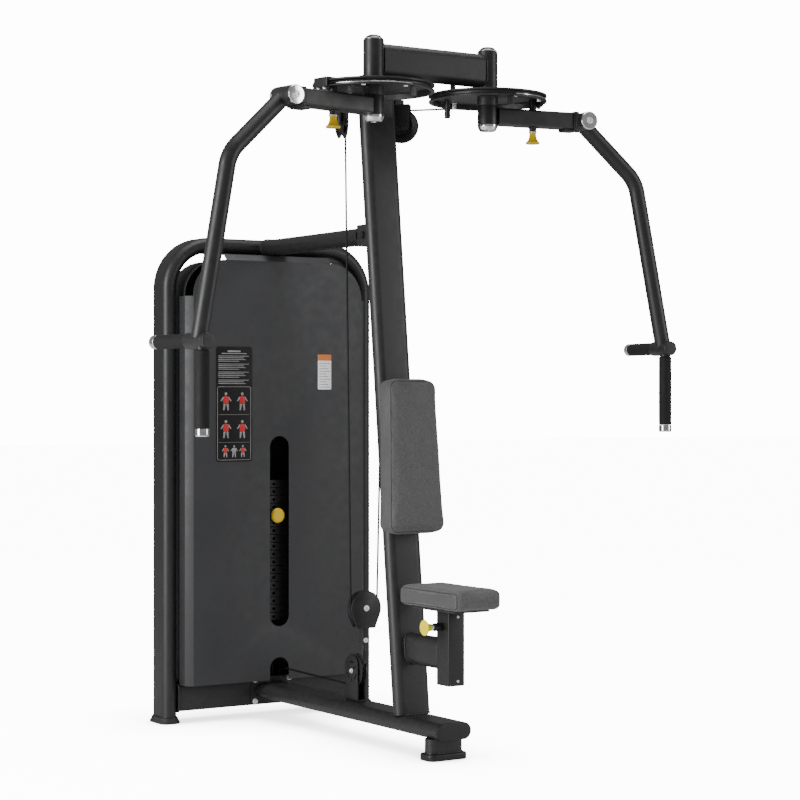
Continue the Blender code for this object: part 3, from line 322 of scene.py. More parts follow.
def filleted(points, radius, steps=16):
    """A path whose inner corners are replaced by arcs."""
    path = [points[0]]
    for before, corner, after in zip(points, points[1:], points[2:]):
        corner = Vector(corner)
        back = (Vector(before) - corner).normalized()
        ahead = (Vector(after) - corner).normalized()
        half = back.angle(ahead) / 2
        centre = corner + (back + ahead).normalized() * radius / math.sin(half)
        first = corner + back * radius / math.tan(half) - centre
        last = corner + ahead * radius / math.tan(half) - centre
        turn = math.atan2(first.x * last.y - first.y * last.x, first.dot(last))
        start = math.atan2(first.y, first.x)
        path += arc(centre, radius, start, start + turn, steps)
    path.append(points[-1])
    return path


def softened(points, radius, closed, steps=4):
    """Rounds each corner of a profile, by no more than its short sides allow."""
    count = len(points)
    result = []
    for index, point in enumerate(points):
        inner = closed or 0 < index < count - 1
        corner = Vector(point)
        back = Vector(points[index - 1]) - corner
        ahead = Vector(points[(index + 1) % count]) - corner
        if not inner or back.angle(ahead, math.pi) > math.radians(165):
            result.append(tuple(corner))
            continue
        reach = min(radius, back.length * 0.42, ahead.length * 0.42)
        first = corner + back.normalized() * reach
        last = corner + ahead.normalized() * reach
        for step in range(steps + 1):
            t = step / steps
            result.append(tuple((1 - t) ** 2 * first + 2 * t * (1 - t) * corner + t * t * last))
    return result


# ---------------------------------------------------------------- meshes

def linked(name, data):
    """A new object in the scene."""
    item = bpy.data.objects.new(name, data)
    bpy.context.scene.collection.objects.link(item)
    return item


def evaluated(item):
    """A mesh of the object with its modifiers applied."""
    return bpy.data.meshes.new_from_object(item.evaluated_get(bpy.context.evaluated_depsgraph_get()))


def mesh_from(points, faces):
    mesh = bpy.data.meshes.new("form")
    mesh.from_pydata([tuple(point) for point in points], [], faces)
    mesh.validate()
    return mesh


def mended(mesh):
    """Welds coincident points and turns every face outwards."""
    work = bmesh.new()
    work.from_mesh(mesh)
    bmesh.ops.remove_doubles(work, verts=work.verts, dist=0.000005)
    bmesh.ops.recalc_face_normals(work, faces=work.faces)
    work.to_mesh(mesh)
    work.free()
    return mesh


def ring_faces(rings, count, looped=False, sides=None):
    """Four-sided faces between rings of count points; a chain that isn't looped gets its two end faces."""
    faces = []
    for ring in range(rings if looped else rings - 1):
        near = ring * count
        far = (ring + 1) % rings * count
        for side in range(count if sides is None else sides):
            ahead = (side + 1) % count
            faces.append((near + side, near + ahead, far + ahead, far + side))
    if not looped:
        faces.append(tuple(range(count - 1, -1, -1)))
        faces.append(tuple(range((rings - 1) * count, rings * count)))
    return faces


def ring_around(place, ahead, normal, radius, steps):
    """The points of a circle that faces a direction."""
    other = ahead.cross(normal)
    return [place + (normal * math.cos(math.tau * step / steps)
                     + other * math.sin(math.tau * step / steps)) * radius for step in range(steps)]


def paced(outline, pace=0.006):
    """A closed outline with a point at least every pace."""
    points = []
    for index, start in enumerate(outline):
        start = Vector(start)
        end = Vector(outline[(index + 1) % len(outline)])
        steps = max(1, round((end - start).length / pace))
        points += [start.lerp(end, step / steps) for step in range(steps)]
    return points


def swept(section, path, axes=Matrix.Identity(4), taper=None):
    """A closed bar: the section carried along a flat path, in the plane of x and y.

    The section's x lies across the path and its y stands out of the plane.
    """
    points = []
    for index, place in enumerate(path):
        before = Vector(path[max(index - 1, 0)])
        after = Vector(path[min(index + 1, len(path) - 1)])
        ahead = (after - before).normalized()
        scale = taper(index / (len(path) - 1)) if taper else 1
        for across, out in section:
            points.append(Vector((place[0] - ahead.y * across * scale, place[1] + ahead.x * across * scale,
                                  out * scale)))
    mesh = mended(mesh_from(points, ring_faces(len(path), len(section))))
    mesh.transform(axes)
    return mesh


def lathe(profile, steps=56, soft=0.0008):
    """A turned form around Z from (radius, height) points, closed or from the axis to the axis."""
    closed = profile[0][0] > 0 or profile[-1][0] > 0
    profile = softened(profile, soft, closed)
    points = []
    for step in range(steps):
        angle = math.tau * step / steps
        points += [(radius * math.cos(angle), radius * math.sin(angle), height) for radius, height in profile]
    count = len(profile)
    return mended(mesh_from(points, ring_faces(steps, count, True, count if closed else count - 1)))


def panel(loops, depth, edge=0.001, axes=Matrix.Identity(4)):
    """Flat outlines, the first filled and the others holes, raised to depth with rounded edges."""
    curve = bpy.data.curves.new("panel", "CURVE")
    curve.dimensions = "2D"
    curve.fill_mode = "BOTH"
    curve.extrude = depth / 2 - edge
    curve.bevel_depth = edge
    curve.bevel_resolution = 2
    curve.offset = -edge
    for loop in loops:
        spline = curve.splines.new("POLY")
        spline.points.add(len(loop) - 1)
        for point, place in zip(spline.points, loop):
            point.co = (place[0], place[1], 0, 1)
        spline.use_cyclic_u = True
    item = linked("panel", curve)
    bpy.context.view_layer.update()
    mesh = evaluated(item)
    bpy.data.objects.remove(item)
    mesh.transform(axes @ Matrix.Translation((0, 0, depth / 2)))
    return mended(mesh)


def block(low, high, edge=0.002):
    """A box with rounded upright corners and edges."""
    outline = rounded_rectangle((low[0], low[1]), (high[0], high[1]), edge * 1.5, 4)
    return panel([outline], high[2] - low[2], edge, at(0, 0, low[2]))


def bar(radius, length, soft=0.0008, steps=48):
    """A round bar up Z from the origin, with softened ends."""
    return lathe([(0, length), (radius, length), (radius, 0), (0, 0)], steps, soft)


def hollow(bore, radius, low, high, steps, soft):
    """A round sleeve around Z with softened rims."""
    return lathe([(bore, high), (radius, high), (radius, low), (bore, low)], steps, soft)


def joined(*meshes):
    """One mesh from several."""
    work = bmesh.new()
    for mesh in meshes:
        work.from_mesh(mesh)
    result = bpy.data.meshes.new("group")
    work.to_mesh(result)
    work.free()
    return result


def placed(mesh, *matrices):
    """A copy of the mesh moved by the matrices, the last one first."""
    copy = mesh.copy()
    for matrix in reversed(matrices):
        copy.transform(matrix)
    return copy


def both(mesh, x, y, z):
    """Copies of the mesh at minus x and at x."""
    return [placed(mesh, at(side * x, y, z)) for side in (-1, 1)]


def cut_by(mesh, *tools):
    """The mesh with the tools' volumes removed."""
    item = linked("blank", mesh)
    cutters = []
    for tool in tools:
        cutter = linked("tool", tool)
        boolean = item.modifiers.new("cut", "BOOLEAN")
        boolean.object = cutter
        boolean.operation = "DIFFERENCE"
        boolean.solver = "EXACT"
        cutters.append(cutter)
    bpy.context.view_layer.update()
    result = evaluated(item)
    for used in (item, *cutters):
        bpy.data.objects.remove(used)
    return result


def round_cable(points, radius=CABLE_RADIUS, steps=14):
    """A round wire through points in space, with closed ends."""
    rings = []
    normal = None
    for index, place in enumerate(points):
        ahead = (points[min(index + 1, len(points) - 1)] - points[max(index - 1, 0)]).normalized()
        if normal is None:
            normal = ahead.orthogonal()
        normal = (normal - ahead * normal.dot(ahead)).normalized()
        rings += ring_around(place, ahead, normal, radius, steps)
    return mended(mesh_from(rings, ring_faces(len(points), steps)))


# ---------------------------------------------------------------- pieces

def piece(name, mesh, material, body=None, *stands_for):
    """A named object with one material, smooth but for its sharp edges, riding on a body."""
    mesh.shade_smooth()
    mesh.set_sharp_from_angle(angle=math.radians(38))
    mesh.materials.clear()
    mesh.materials.append(material)
    item = linked(name, mesh)
    if body:
        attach(item, body)
    if stands_for:
        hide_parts(*stands_for)
    return item


def keep_node(name, material, edge=0.0008):
    """A CAD node that is shown as it is, with eased edges and its own finish."""
    item = NODES[name]
    item.data.materials.clear()
    item.data.materials.append(material)
    item.data.shade_smooth()
    weld = item.modifiers.new("weld", "WELD")
    weld.merge_threshold = 0.00001
    bevel = item.modifiers.new("ease", "BEVEL")
    bevel.width = edge
    bevel.segments = 2
    bevel.limit_method = "ANGLE"
    bevel.angle_limit = math.radians(40)
    bevel.harden_normals = True
    bevel.use_clamp_overlap = True


def hex_bolt(size, height):
    """A hexagon head with a washer, standing on z = 0."""
    washer = lathe([(0, 0.0012), (size * 0.72, 0.0012), (size * 0.72, 0), (0, 0)], 32, 0.0004)
    outline = circle(size / 2 / math.cos(math.pi / 6), 6)
    return joined(washer, panel([outline], height, 0.0006, at(0, 0, 0.001)))


def socket_bolt(radius, height):
    """A round head with a six-sided socket, standing on z = 0."""
    head = lathe([(0, height), (radius * 0.78, height), (radius, height * 0.72), (radius, 0), (0, 0)],
                 36, 0.0006)
    return cut_by(head, panel([circle(radius * 0.48, 6)], height, 0.0002, at(0, 0, height * 0.45)))


def facing(x, y, z):
    """A matrix that turns +Z to a direction."""
    return Vector((x, y, z)).to_track_quat("Z", "Y").to_matrix().to_4x4()


def weld_bead(name, loop, body, radius=0.0028):
    """A welded fillet around a joint: a rippled ring through a closed loop of points."""
    points = paced(loop, 0.004)
    rings = []
    count = len(points)
    for index, place in enumerate(points):
        ahead = (points[(index + 1) % count] - points[index - 1]).normalized()
        normal = ahead.orthogonal()
        if abs(ahead.z) < 0.9:
            normal = Vector((0, 0, 1)) - ahead * ahead.z
        normal.normalize()
        rings += ring_around(place, ahead, normal, radius * (1 + 0.12 * math.sin(index * 1.9)), 8)
    return piece(name, mended(mesh_from(rings, ring_faces(count, 8, True))), PAINT, body)


def upright_loop(outline, y, z, grow=1):
    """An outline of (height, width) points as a loop in space at one y, around a height z."""
    return [Vector((across * grow, y, z + up * grow)) for up, across in outline]


MIRROR = Matrix.Scale(-1, 4, (1, 0, 0))
ARM = at(*PIVOT) @ Matrix.Rotation(-ARM_SWEEP, 4, "Z")


def pair(name, mesh, material, body, *stands_for, matrix=ARM):
    """The right-hand piece and its mirror image; {} in a body or node name is the side."""
    for side, mirror in (("right", Matrix.Identity(4)), ("left", MIRROR)):
        copy = placed(mesh, mirror, matrix)
        if side == "left":
            copy.flip_normals()
        nodes = [node.format(side) for node in stands_for]
        piece(f"{name}_{side}", copy, material, body.format(side), *nodes)


def lofted(rings):
    """A closed skin through outlines of equal count, each with its height."""
    points = [(x, y, height) for outline, height in rings for x, y in outline]
    return mended(mesh_from(points, ring_faces(len(rings), len(rings[0][0]))))


# ---------------------------------------------------------------- frame

def build_tower():
    middle = 0.367
    path = filleted([(-middle, 0.0195), (-middle, 1.547), (middle, 1.547), (middle, 0.0195)], 0.145, 28)
    hoop = swept(flat_oval(0.103, OVAL_THICK), path, at(0, TOWER_Y, 0) @ FACING_FRONT)
    piece("hoop", hoop, PAINT, "root", "tower_hoop")
    for name, side in SIDES:
        rings = []
        for grow, height in ((-0.0015, 0.0), (0.0, 0.0015), (0.0, 0.007), (-0.0035, 0.012), (-0.0045, 0.019),
                             (-0.0055, 0.0197)):
            outline = rounded_rectangle((-0.034 - grow, -0.0575 - grow), (0.034 + grow, 0.0575 + grow),
                                        0.022, 6)
            rings.append((outline, height))
        foot = placed(lofted(rings), at(side * middle, TOWER_Y, 0))
        piece(f"foot_boot_{name}", foot, RUBBER, "root", f"tower_foot_{name}")
        weld_bead(f"foot_bead_{name}", [Vector((side * middle + x, TOWER_Y + y, 0.0215))
                                        for x, y in flat_oval(0.105, 0.052)], "root", 0.0018)
    tube = swept(centred(0.05, 0.042, 0.008), [(-0.3417, 0), (0.3417, 0)],
                 at(0, TOWER_Y, 0.08))
    ribs = [(0.013, 0.3146), (0.0215, 0.3146)]
    for step in range(9):
        height = 0.306 - step * 0.0195
        ribs += [(0.0215, height), (0.0185, height - 0.005),
                 (0.0185, height - 0.0095), (0.0215, height - 0.0145)]
    ribs += [(0.0215, 0.1225), (0.013, 0.1225)]
    buffers = lathe(ribs, 40, 0.0006)
    piece("cross_tube", tube, PAINT, "root", "tower_cross_tube")
    piece("stack_buffers", joined(*both(buffers, ROD_X, STACK_Y, 0)), RUBBER, "root")
    for name, side in SIDES:
        weld_bead(f"cross_tube_bead_{name}", [Vector((side * 0.3412, TOWER_Y + x, 0.08 + y)) for x, y in
                                              centred(0.051, 0.043, 0.01)],
                  "root")


def build_base():
    oval = flat_oval(OVAL_WIDE, OVAL_THICK)
    beam = swept(oval, [(-0.525, BEAM_Z), (0.545, BEAM_Z)], FACING_SIDE)
    piece("beam", beam, PAINT, "root", "base_beam")
    cap = panel([flat_oval(OVAL_WIDE - 0.0006, OVAL_THICK - 0.0006)], 0.0038, 0.0013,
                at(0, -0.529, BEAM_Z) @ FACING_REAR)
    piece("beam_cap", cap, PAINT, "root", "base_beam_end_cap")
    stem = swept(oval, [(-0.473, 0.018), (-0.473, 0.0625)], FACING_SIDE)
    plate = panel([centred(0.067, 0.034, 0.02, 8)], 0.02, 0.0035,
                  at(0, -0.473, 0))
    piece("front_foot_form", joined(stem, plate), PAINT, "root", "front_foot")
    weld_bead("front_foot_bead", [Vector((y, -0.473 + x, 0.021)) for x, y in oval], "root", 0.0024)
    weld_bead("beam_bead", upright_loop(oval, 0.544, BEAM_Z), "root")
    post = swept(oval, [(0, 0.1116), (0, 1.9842)], leaning(POST_SLOPE, post_y(0)) @ FACING_SIDE)
    piece("post_form", post, PAINT, "root", "post")
    for name, height in (("low", 0.1125), ("high", 1.983)):
        weld_bead(f"post_bead_{name}", [Vector((y, post_y(height) + x, height)) for x, y in oval], "root")


def build_brace():
    front = post_y(BRACE_Z) + OVAL_THICK / 2
    section = flat_oval(0.08, OVAL_THICK)
    start = front + 0.0748
    steps = 24
    path = [(start + (0.544 - start) * step / steps, BRACE_Z) for step in range(steps + 1)]
    brace = swept(section, path, FACING_SIDE, lambda t: 1 + 0.05 * max(0, t - 0.9) / 0.1)
    piece("brace", brace, PAINT, "root", "brace_tube")
    weld_bead("brace_bead", upright_loop(section, 0.5435, BRACE_Z, 1.05), "root")
    weld_bead("brace_front_bead", upright_loop(section, start, BRACE_Z), "root", 0.0022)
    keep_node("brace_bracket", PAINT, 0.003)
    bolt = hex_bolt(0.019, 0.009)
    for name, side in SIDES:
        spot = at(side * 0.036, front + 0.034, BRACE_Z) @ facing(side, 0, 0)
        piece(f"brace_bolt_{name}", placed(bolt, spot), PAINT, "root")


def build_head():
    oval = flat_oval(OVAL_WIDE, OVAL_THICK)
    piece("head_beam_form", swept(oval, [(-0.386, HEAD_Z), (-0.056, HEAD_Z)], FACING_SIDE), PAINT, "root",
          "head_beam")
    cap = panel([flat_oval(OVAL_WIDE - 0.001, OVAL_THICK - 0.001)], 0.004, 0.0014,
                at(0, -0.059, HEAD_Z) @ FACING_REAR)
    piece("head_beam_cap", cap, NYLON, "root")
    section = flat_oval(0.1, OVAL_THICK)
    cross = swept(section, [(-0.1765, -0.411), (0.1765, -0.411)], at(0, 0, CROSS_Z))
    tube = hollow(0.0153, 0.03, 1.971, 2.08, 64, 0.0012)
    tubes = both(tube, PIVOT.x, PIVOT.y, 0)
    stops = both(bar(0.008, 0.024), 0.0755, PIVOT.y, 1.9525)
    piece("cross_beam_form", joined(cross, *tubes, *stops), PAINT, "root", "cross_beam")
    for name, side in SIDES:
        loop = []
        for x, y in section:
            reach = math.sqrt(0.0302 ** 2 - x * x)
            loop.append(Vector((side * (PIVOT.x - reach), PIVOT.y + x, CROSS_Z + y)))
        weld_bead(f"pivot_bead_{name}", loop, "root", 0.0024)
    weld_bead("head_bead", upright_loop(oval, -0.386, HEAD_Z), "root", 0.0024)
    shaft = lathe([(0, 2.0845), (0.0268, 2.0845), (0.028, 2.0805), (0.015, 2.0803), (0.015, 1.8627),
                   (0.03, 1.8627), (0.03, 1.856), (0.0262, 1.847), (0.0225, 1.8432), (0.0095, 1.8432),
                   (0.0085, 1.848), (0, 1.848)], 64, 0.0008)
    dome = lathe([(0, 2.0948), (0.012, 2.0938), (0.0205, 2.0905), (0.0245, 2.085), (0.0245, 2.0846),
                  (0, 2.0846)], 56, 0.001)
    pair("pivot", shaft, CHROME, "root", "pivot_shaft_{}", matrix=at(*PIVOT))
    pair("pivot_dome", dome, NYLON, "root", matrix=at(*PIVOT))


# ---------------------------------------------------------------- arms

def build_cams():
    for side in ("left", "right"):
        keep_node(f"cam_{side}", PAINT, 0.0007)
    clamp = joined(block((0.144, -0.01, 1.9502), (0.183, 0.05, 1.956), 0.0024),
                   block((0.17, -0.01, 1.926), (0.183, 0.05, 1.956), 0.0024))
    pair("cable_clamp", clamp, PAINT, "{}_cam")
    ring_bolts = []
    for degrees in (-85, -38.5, 104):
        angle = math.radians(degrees)
        spot = at(0.156 * math.cos(angle), 0.156 * math.sin(angle), 1.944) @ facing(0, 0, -1)
        ring_bolts.append(placed(hex_bolt(0.0115, 0.016), spot))
    for y in (0.008, 0.034):
        ring_bolts.append(placed(hex_bolt(0.009, 0.0045), at(0.1765, y, 1.9262) @ facing(0, 0, -1)))
    pair("cam_bolts", joined(*ring_bolts), ZINC, "{}_cam")
    wire = [Vector((0.1738 * math.cos(angle), 0.1738 * math.sin(angle), 1.935))
            for angle in (math.radians(-88 + 4 * step) for step in range(20))]
    pair("cam_wire", round_cable(wire, 0.0018, 10), CHROME, "{}_cam")
    tab = panel([rounded_rectangle((-0.0085, 1.902), (0.0085, 1.93), 0.0015)], 0.01, 0.0008, FACING_FRONT)
    pair("cam_stop_tab", placed(tab, at(-0.0057, -0.16, 0)), PAINT, "{}_cam")
    ring = lathe([(0.0312, 1.9502), (0.035, 1.9502), (0.0312, 1.954)], 56, 0.0004)
    pair("cam_hub_bead", ring, PAINT, "{}_cam")


def build_upper_arms():
    hub = hollow(0.0153, 0.03, 1.863, 1.9188, 64, 0.001)
    tube = swept(centred(0.03, 0.0245, 0.007), [(0.026, 0), (0.277, 0)],
                 at(0, 0, 1.888))
    flange = placed(panel([rounded_rectangle((-0.036, -0.028), (0.036, 0.027), 0.006)], 0.0165, 0.002),
                    at(0.2762, 0, 1.8878) @ FACING_SIDE)
    neck = block((0.28, -0.0393, 1.868), (0.321, -0.015, 1.908), 0.002)
    sleeve = placed(hollow(0.0103, 0.028, 0, 0.0255, 56, 0.0012),
                    at(ELBOW.x, -0.0145, ELBOW.z) @ facing(0, -1, 0))
    lip = block((0.25, -0.022, 1.855), (0.2915, 0.022, 1.865), 0.0016)
    housing = hollow(0.0056, 0.0115, 1.85, 1.9437, 44, 0.001)
    collar = lathe([(0.0116, 1.8628), (0.015, 1.8628), (0.0116, 1.859)], 44, 0.0004)
    arm = joined(hub, tube, flange, neck, sleeve, lip, placed(housing, at(PIN_CIRCLE, 0, 0)),
                 placed(collar, at(PIN_CIRCLE, 0, 0)))
    pair("upper_arm_form", arm, PAINT, "{}_arm", "upper_arm_{}")
    pin = lathe([(0, 0.0485), (0.025, 0.0485), (0.0275, 0.0462), (0.0275, 0.0403), (0.01, 0.0403),
                 (0.01, -0.0343), (0.0275, -0.0343), (0.0275, -0.0402), (0.025, -0.0425), (0, -0.0425)],
                56, 0.001)
    elbow = at(*ELBOW) @ ALONG_Y
    pair("elbow_pin_form", pin, CHROME, "{}_arm", "elbow_pin_{}", matrix=ARM @ elbow)
    head = placed(socket_bolt(0.0098, 0.0032), at(0, 0, 0.0484))
    pair("elbow_bolt", head, ZINC, "{}_arm", matrix=ARM @ elbow)
    place = ARM @ at(PIN_CIRCLE, 0, 1.9437)
    plunger = lathe([(0, 0), (0.0035, 0), (0.005, -0.004), (0.005, -0.0938), (0.0125, -0.094),
                     (0.0125, -0.097), (0, -0.097)], 40, 0.0006)
    pair("pull_plunger", plunger, ZINC, "{}_arm_pin", "arm_pull_pin_{}", matrix=place)
    knob = lathe([(0, -0.0971), (0.0108, -0.0971), (0.0104, -0.101), (0.0108, -0.108), (0.013, -0.116),
                  (0.0155, -0.121), (0.0212, -0.1258), (0.0215, -0.13), (0.0198, -0.131),
                  (0.008, -0.13), (0, -0.1298)], 56, 0.0016)
    pair("pull_knob", knob, YELLOW, "{}_arm_pin", matrix=place)


def build_lower_arms():
    path = filleted([(ELBOW.x + 0.008, ELBOW.z - 0.0072), (0.512, 1.716), (HANDLE.x, HANDLE.z + 0.004)],
                    0.11, 28)
    tube = swept(circle(0.024, 44), path, at(0, 0.01, 0) @ FACING_FRONT)
    sleeve = placed(hollow(0.0103, 0.028, 0, 0.0482, 56, 0.0014),
                    at(ELBOW.x, 0.034, ELBOW.z) @ facing(0, -1, 0))
    tee = placed(lathe([(0, 0.0965), (0.0205, 0.0965), (0.0225, 0.0945), (0.0225, 0.083), (0.0219, 0.0822),
                        (0.0225, 0.0814), (0.0225, 0.001), (0.0215, 0), (0, 0)], 56, 0.0008),
                 at(HANDLE.x, 0.0605, HANDLE.z) @ facing(0, -1, 0))
    drop = placed(bar(0.016, 0.026, 0.001), at(HANDLE.x, -0.003, 1.1775))
    pair("lower_arm_form", joined(tube, sleeve, tee, drop), PAINT, "{}_lower_arm", "lower_arm_{}")
    for name, length, place, node in (
            ("upright", 0.234, at(HANDLE.x, -0.003, 1.178), "fly_grip_{}"),
            ("level", 0.1615, at(HANDLE.x, 0.0605, HANDLE.z) @ ALONG_Y, "rear_grip_{}")):
        foam = lathe([(0.0128, -0.0006), (0.0172, -0.0006), (0.0195, -0.0035), (0.0195, -0.01),
                      (0.0189, -0.012), (0.0195, -0.014), (0.0197, -length * 0.5), (0.0195, -length + 0.034),
                      (0.0189, -length + 0.032), (0.0195, -length + 0.03), (0.0195, -length + 0.0225),
                      (0.0128, -length + 0.0222)], 56, 0.001)
        plug = lathe([(0.0128, -length + 0.0218), (0.019, -length + 0.0218), (0.0195, -length + 0.0205),
                      (0.0195, -length + 0.003), (0.0175, -length + 0.0002), (0, -length),
                      (0, -length + 0.0218)], 56, 0.001)
        pair(f"{name}_grip", foam, FOAM, "{}_lower_arm", node, matrix=ARM @ place)
        pair(f"{name}_grip_plug", plug, CHROME, "{}_lower_arm", matrix=ARM @ place)


# ---------------------------------------------------------------- pulleys and brackets

def pulley(groove, outer):
    """A grooved nylon wheel around Z with a dished face, and arc recesses in a large one."""
    floor = groove - CABLE_RADIUS - 0.0009
    wheel = lathe([(0.0053, 0.009), (0.0125, 0.009), (0.0135, 0.0045), (floor - 0.0085, 0.0038),
                   (floor - 0.0065, 0.0088), (outer, 0.009), (floor, 0.0036), (floor, -0.0036),
                   (outer, -0.009),
                   (floor - 0.0065, -0.0088), (floor - 0.0085, -0.0038), (0.0135, -0.0045), (0.0125, -0.009),
                   (0.0053, -0.009)], 64, 0.0008)
    if groove < 0.04:
        return wheel
    windows = []
    for index in range(5):
        middle = math.tau * index / 5
        outline = arc((0, 0), 0.0305, middle - 0.42, middle + 0.42, 10)
        outline += arc((0, 0), 0.0195, middle + 0.34, middle - 0.34, 8)
        windows += [panel([outline], 0.02, 0.0003, at(0, 0, low)) for low in (0.0022, -0.0222)]
    return cut_by(wheel, joined(*windows))


def axle_bolts(axes, size):
    """A bolt head and a nut on the outsides of two cheeks."""
    bolt = hex_bolt(size, size * 0.41)
    return joined(placed(bolt, axes, at(0, 0, CHEEK_REACH)),
                  placed(bolt, axes, at(0, 0, -CHEEK_REACH), Matrix.Rotation(math.pi, 4, "X")))


def build_pulleys():
    large = pulley(GROOVE, 0.0533)
    small = pulley(TOP_GROOVE, 0.0381)
    stack = pulley(STACK_GROOVE, 0.0403)
    head = at(*HEAD_PULLEY) @ Matrix.Rotation(HEAD_RUN, 4, "Z") @ FACING_FRONT
    pair("head_wheel", large, NYLON, "{}_head_pulley", "head_pulley_{}", matrix=head)
    pair("head_axle_bolts", axle_bolts(Matrix.Identity(4), AXLE_BOLT), PAINT, "root", matrix=head)
    floor = at(*FLOOR_PULLEY) @ FACING_SIDE
    for name, wheel, axes, holder, size in (
            ("floor", large, floor, "root", 0.01),
            ("base", large, at(*BASE_PULLEY) @ FACING_SIDE, "root", AXLE_BOLT),
            ("top", small, at(*TOP_PULLEY) @ FACING_SIDE, "root", AXLE_BOLT),
            ("stack", stack, at(*STACK_PULLEY) @ FACING_FRONT, "weight_stack", AXLE_BOLT),
            ("floating", large, at(*FLOATING_PULLEY) @ FACING_FRONT, "floating_block", AXLE_BOLT)):
        piece(f"{name}_wheel", placed(wheel, axes), NYLON, f"{name}_pulley", f"{name}_pulley")
        piece(f"{name}_axle_bolts", axle_bolts(axes, size), ZINC, holder)
    for node in ("head_pulley_bracket", "base_pulley_bracket", "floating_pulley_block"):
        keep_node(node, PAINT)
    cheek = panel([rounded_rectangle((-0.0345, -0.0925), (0.0345, 0.048), (0.002, 0.002, 0.03, 0.03), 10)],
                  0.004, 0.0006)
    windows = []
    for middle, half in ((90, 24), (217, 22), (323, 22)):
        outline = arc((0, 0), 0.03, math.radians(middle - half), math.radians(middle + half), 8)
        outline += arc((0, 0), 0.0262, math.radians(middle + half), math.radians(middle - half), 8)
        windows.append(panel([outline], 0.02, 0.0002, at(0, 0, -0.008)))
    for middle, start, end in ((146, 0.0105, 0.03), (34, 0.0105, 0.03), (270, 0.019, 0.034)):
        slot = rounded_rectangle((start, -0.0016), (end, 0.0016), 0.0015, 4)
        turn = Matrix.Rotation(math.radians(middle), 4, "Z")
        windows.append(panel([slot], 0.02, 0.0002, turn @ at(0, 0, -0.008)))
    cheek = cut_by(cheek, joined(*windows))
    foot = placed(block((-0.0345, -0.0155, 0), (0.0345, 0.0155, 0.006), 0.001),
                  at(0, 0.012, 0.112) @ Matrix.Rotation(math.radians(90), 4, "Z"))
    cheeks = [placed(cheek, floor @ at(0, 0, depth)) for depth in (CHEEK_REACH - 0.004, -CHEEK_REACH)]
    piece("floor_cheeks", joined(*cheeks, foot), PAINT, "root", "floor_pulley_bracket")
    link_bolt = placed(hex_bolt(0.011, 0.005), at(0, -0.046, 0.304) @ facing(0, -1, 0))
    piece("clevis_bolt", link_bolt, ZINC, "floating_block")


# ---------------------------------------------------------------- weight stack and tower

def build_stack():
    plate = block((-0.16, 0.53, 0), (0.16, 0.64, PLATE_PITCH - 0.0008), 0.0016)
    tools = [placed(bar(0.0052, 0.03, 0.0002, 24), at(0, 0.555, 0.0125) @ facing(0, -1, 0))]
    tools += both(bar(0.0136, 0.1, 0.0002, 32), ROD_X, STACK_Y, -0.03)
    tools.append(placed(bar(0.0127, 0.1, 0.0002, 32), at(0, STACK_Y, -0.03)))
    plate = cut_by(plate, *tools)
    top = 0.7785
    pile = [placed(plate, at(0, 0, top - (step + 1) * PLATE_PITCH + 0.0008)) for step in range(18)]
    piece("lifted_plate_pile", joined(*pile[:5]), IRON, "weight_stack", "lifted_plates")
    piece("lower_plate_pile", joined(*pile[5:]), IRON, "root", "lower_plates")
    keep_node("selector_stem", PAINT)
    shank = lathe([(0, 0.5284), (SELECTOR_R, 0.5284), (SELECTOR_R, 0.61), (0.002, 0.614), (0, 0.614)],
                  32, 0.0004)
    turn = Matrix(((1, 0, 0, 0), (0, 0, 1, 0), (0, -1, 0, SELECTOR_Z), (0, 0, 0, 1)))
    piece("selector_shank", placed(shank, turn), CHROME, "selector_pin", "selector_pin")
    knob = lathe([(0, 0.497), (0.008, 0.4975), (0.019, 0.4965), (0.024, 0.4995), (0.025, 0.5035),
                  (0.024, 0.507), (0.015, 0.5125), (0.0118, 0.5185), (0.0105, 0.5281), (0, 0.5281)],
                 56, 0.0014)
    piece("selector_knob", placed(knob, turn), YELLOW, "selector_pin")


def build_tower_inside():
    rods = both(bar(0.0125, 1.3297), ROD_X, STACK_Y, 0.1223)
    piece("guide_rods", joined(*rods), CHROME, "root", "guide_rod_frame")
    top = block((-0.15, 0.56, 1.452), (0.15, 0.64, 1.482), 0.0016)
    hanger = block((-0.02, 0.575, 1.48), (0.02, 0.615, 1.5217), 0.0012)
    outline = rounded_rectangle((-0.016, -0.014), (0.016, 0.054), (0.012, 0.012, 0.001, 0.001), 6)
    axes = at(*TOP_PULLEY) @ FACING_SIDE
    cheek = panel([outline], 0.004, 0.0006)
    cheeks = [placed(cheek, axes @ at(0, 0, depth)) for depth in (CHEEK_REACH - 0.004, -CHEEK_REACH)]
    piece("top_bar", joined(top, hanger, *cheeks), PAINT, "root")


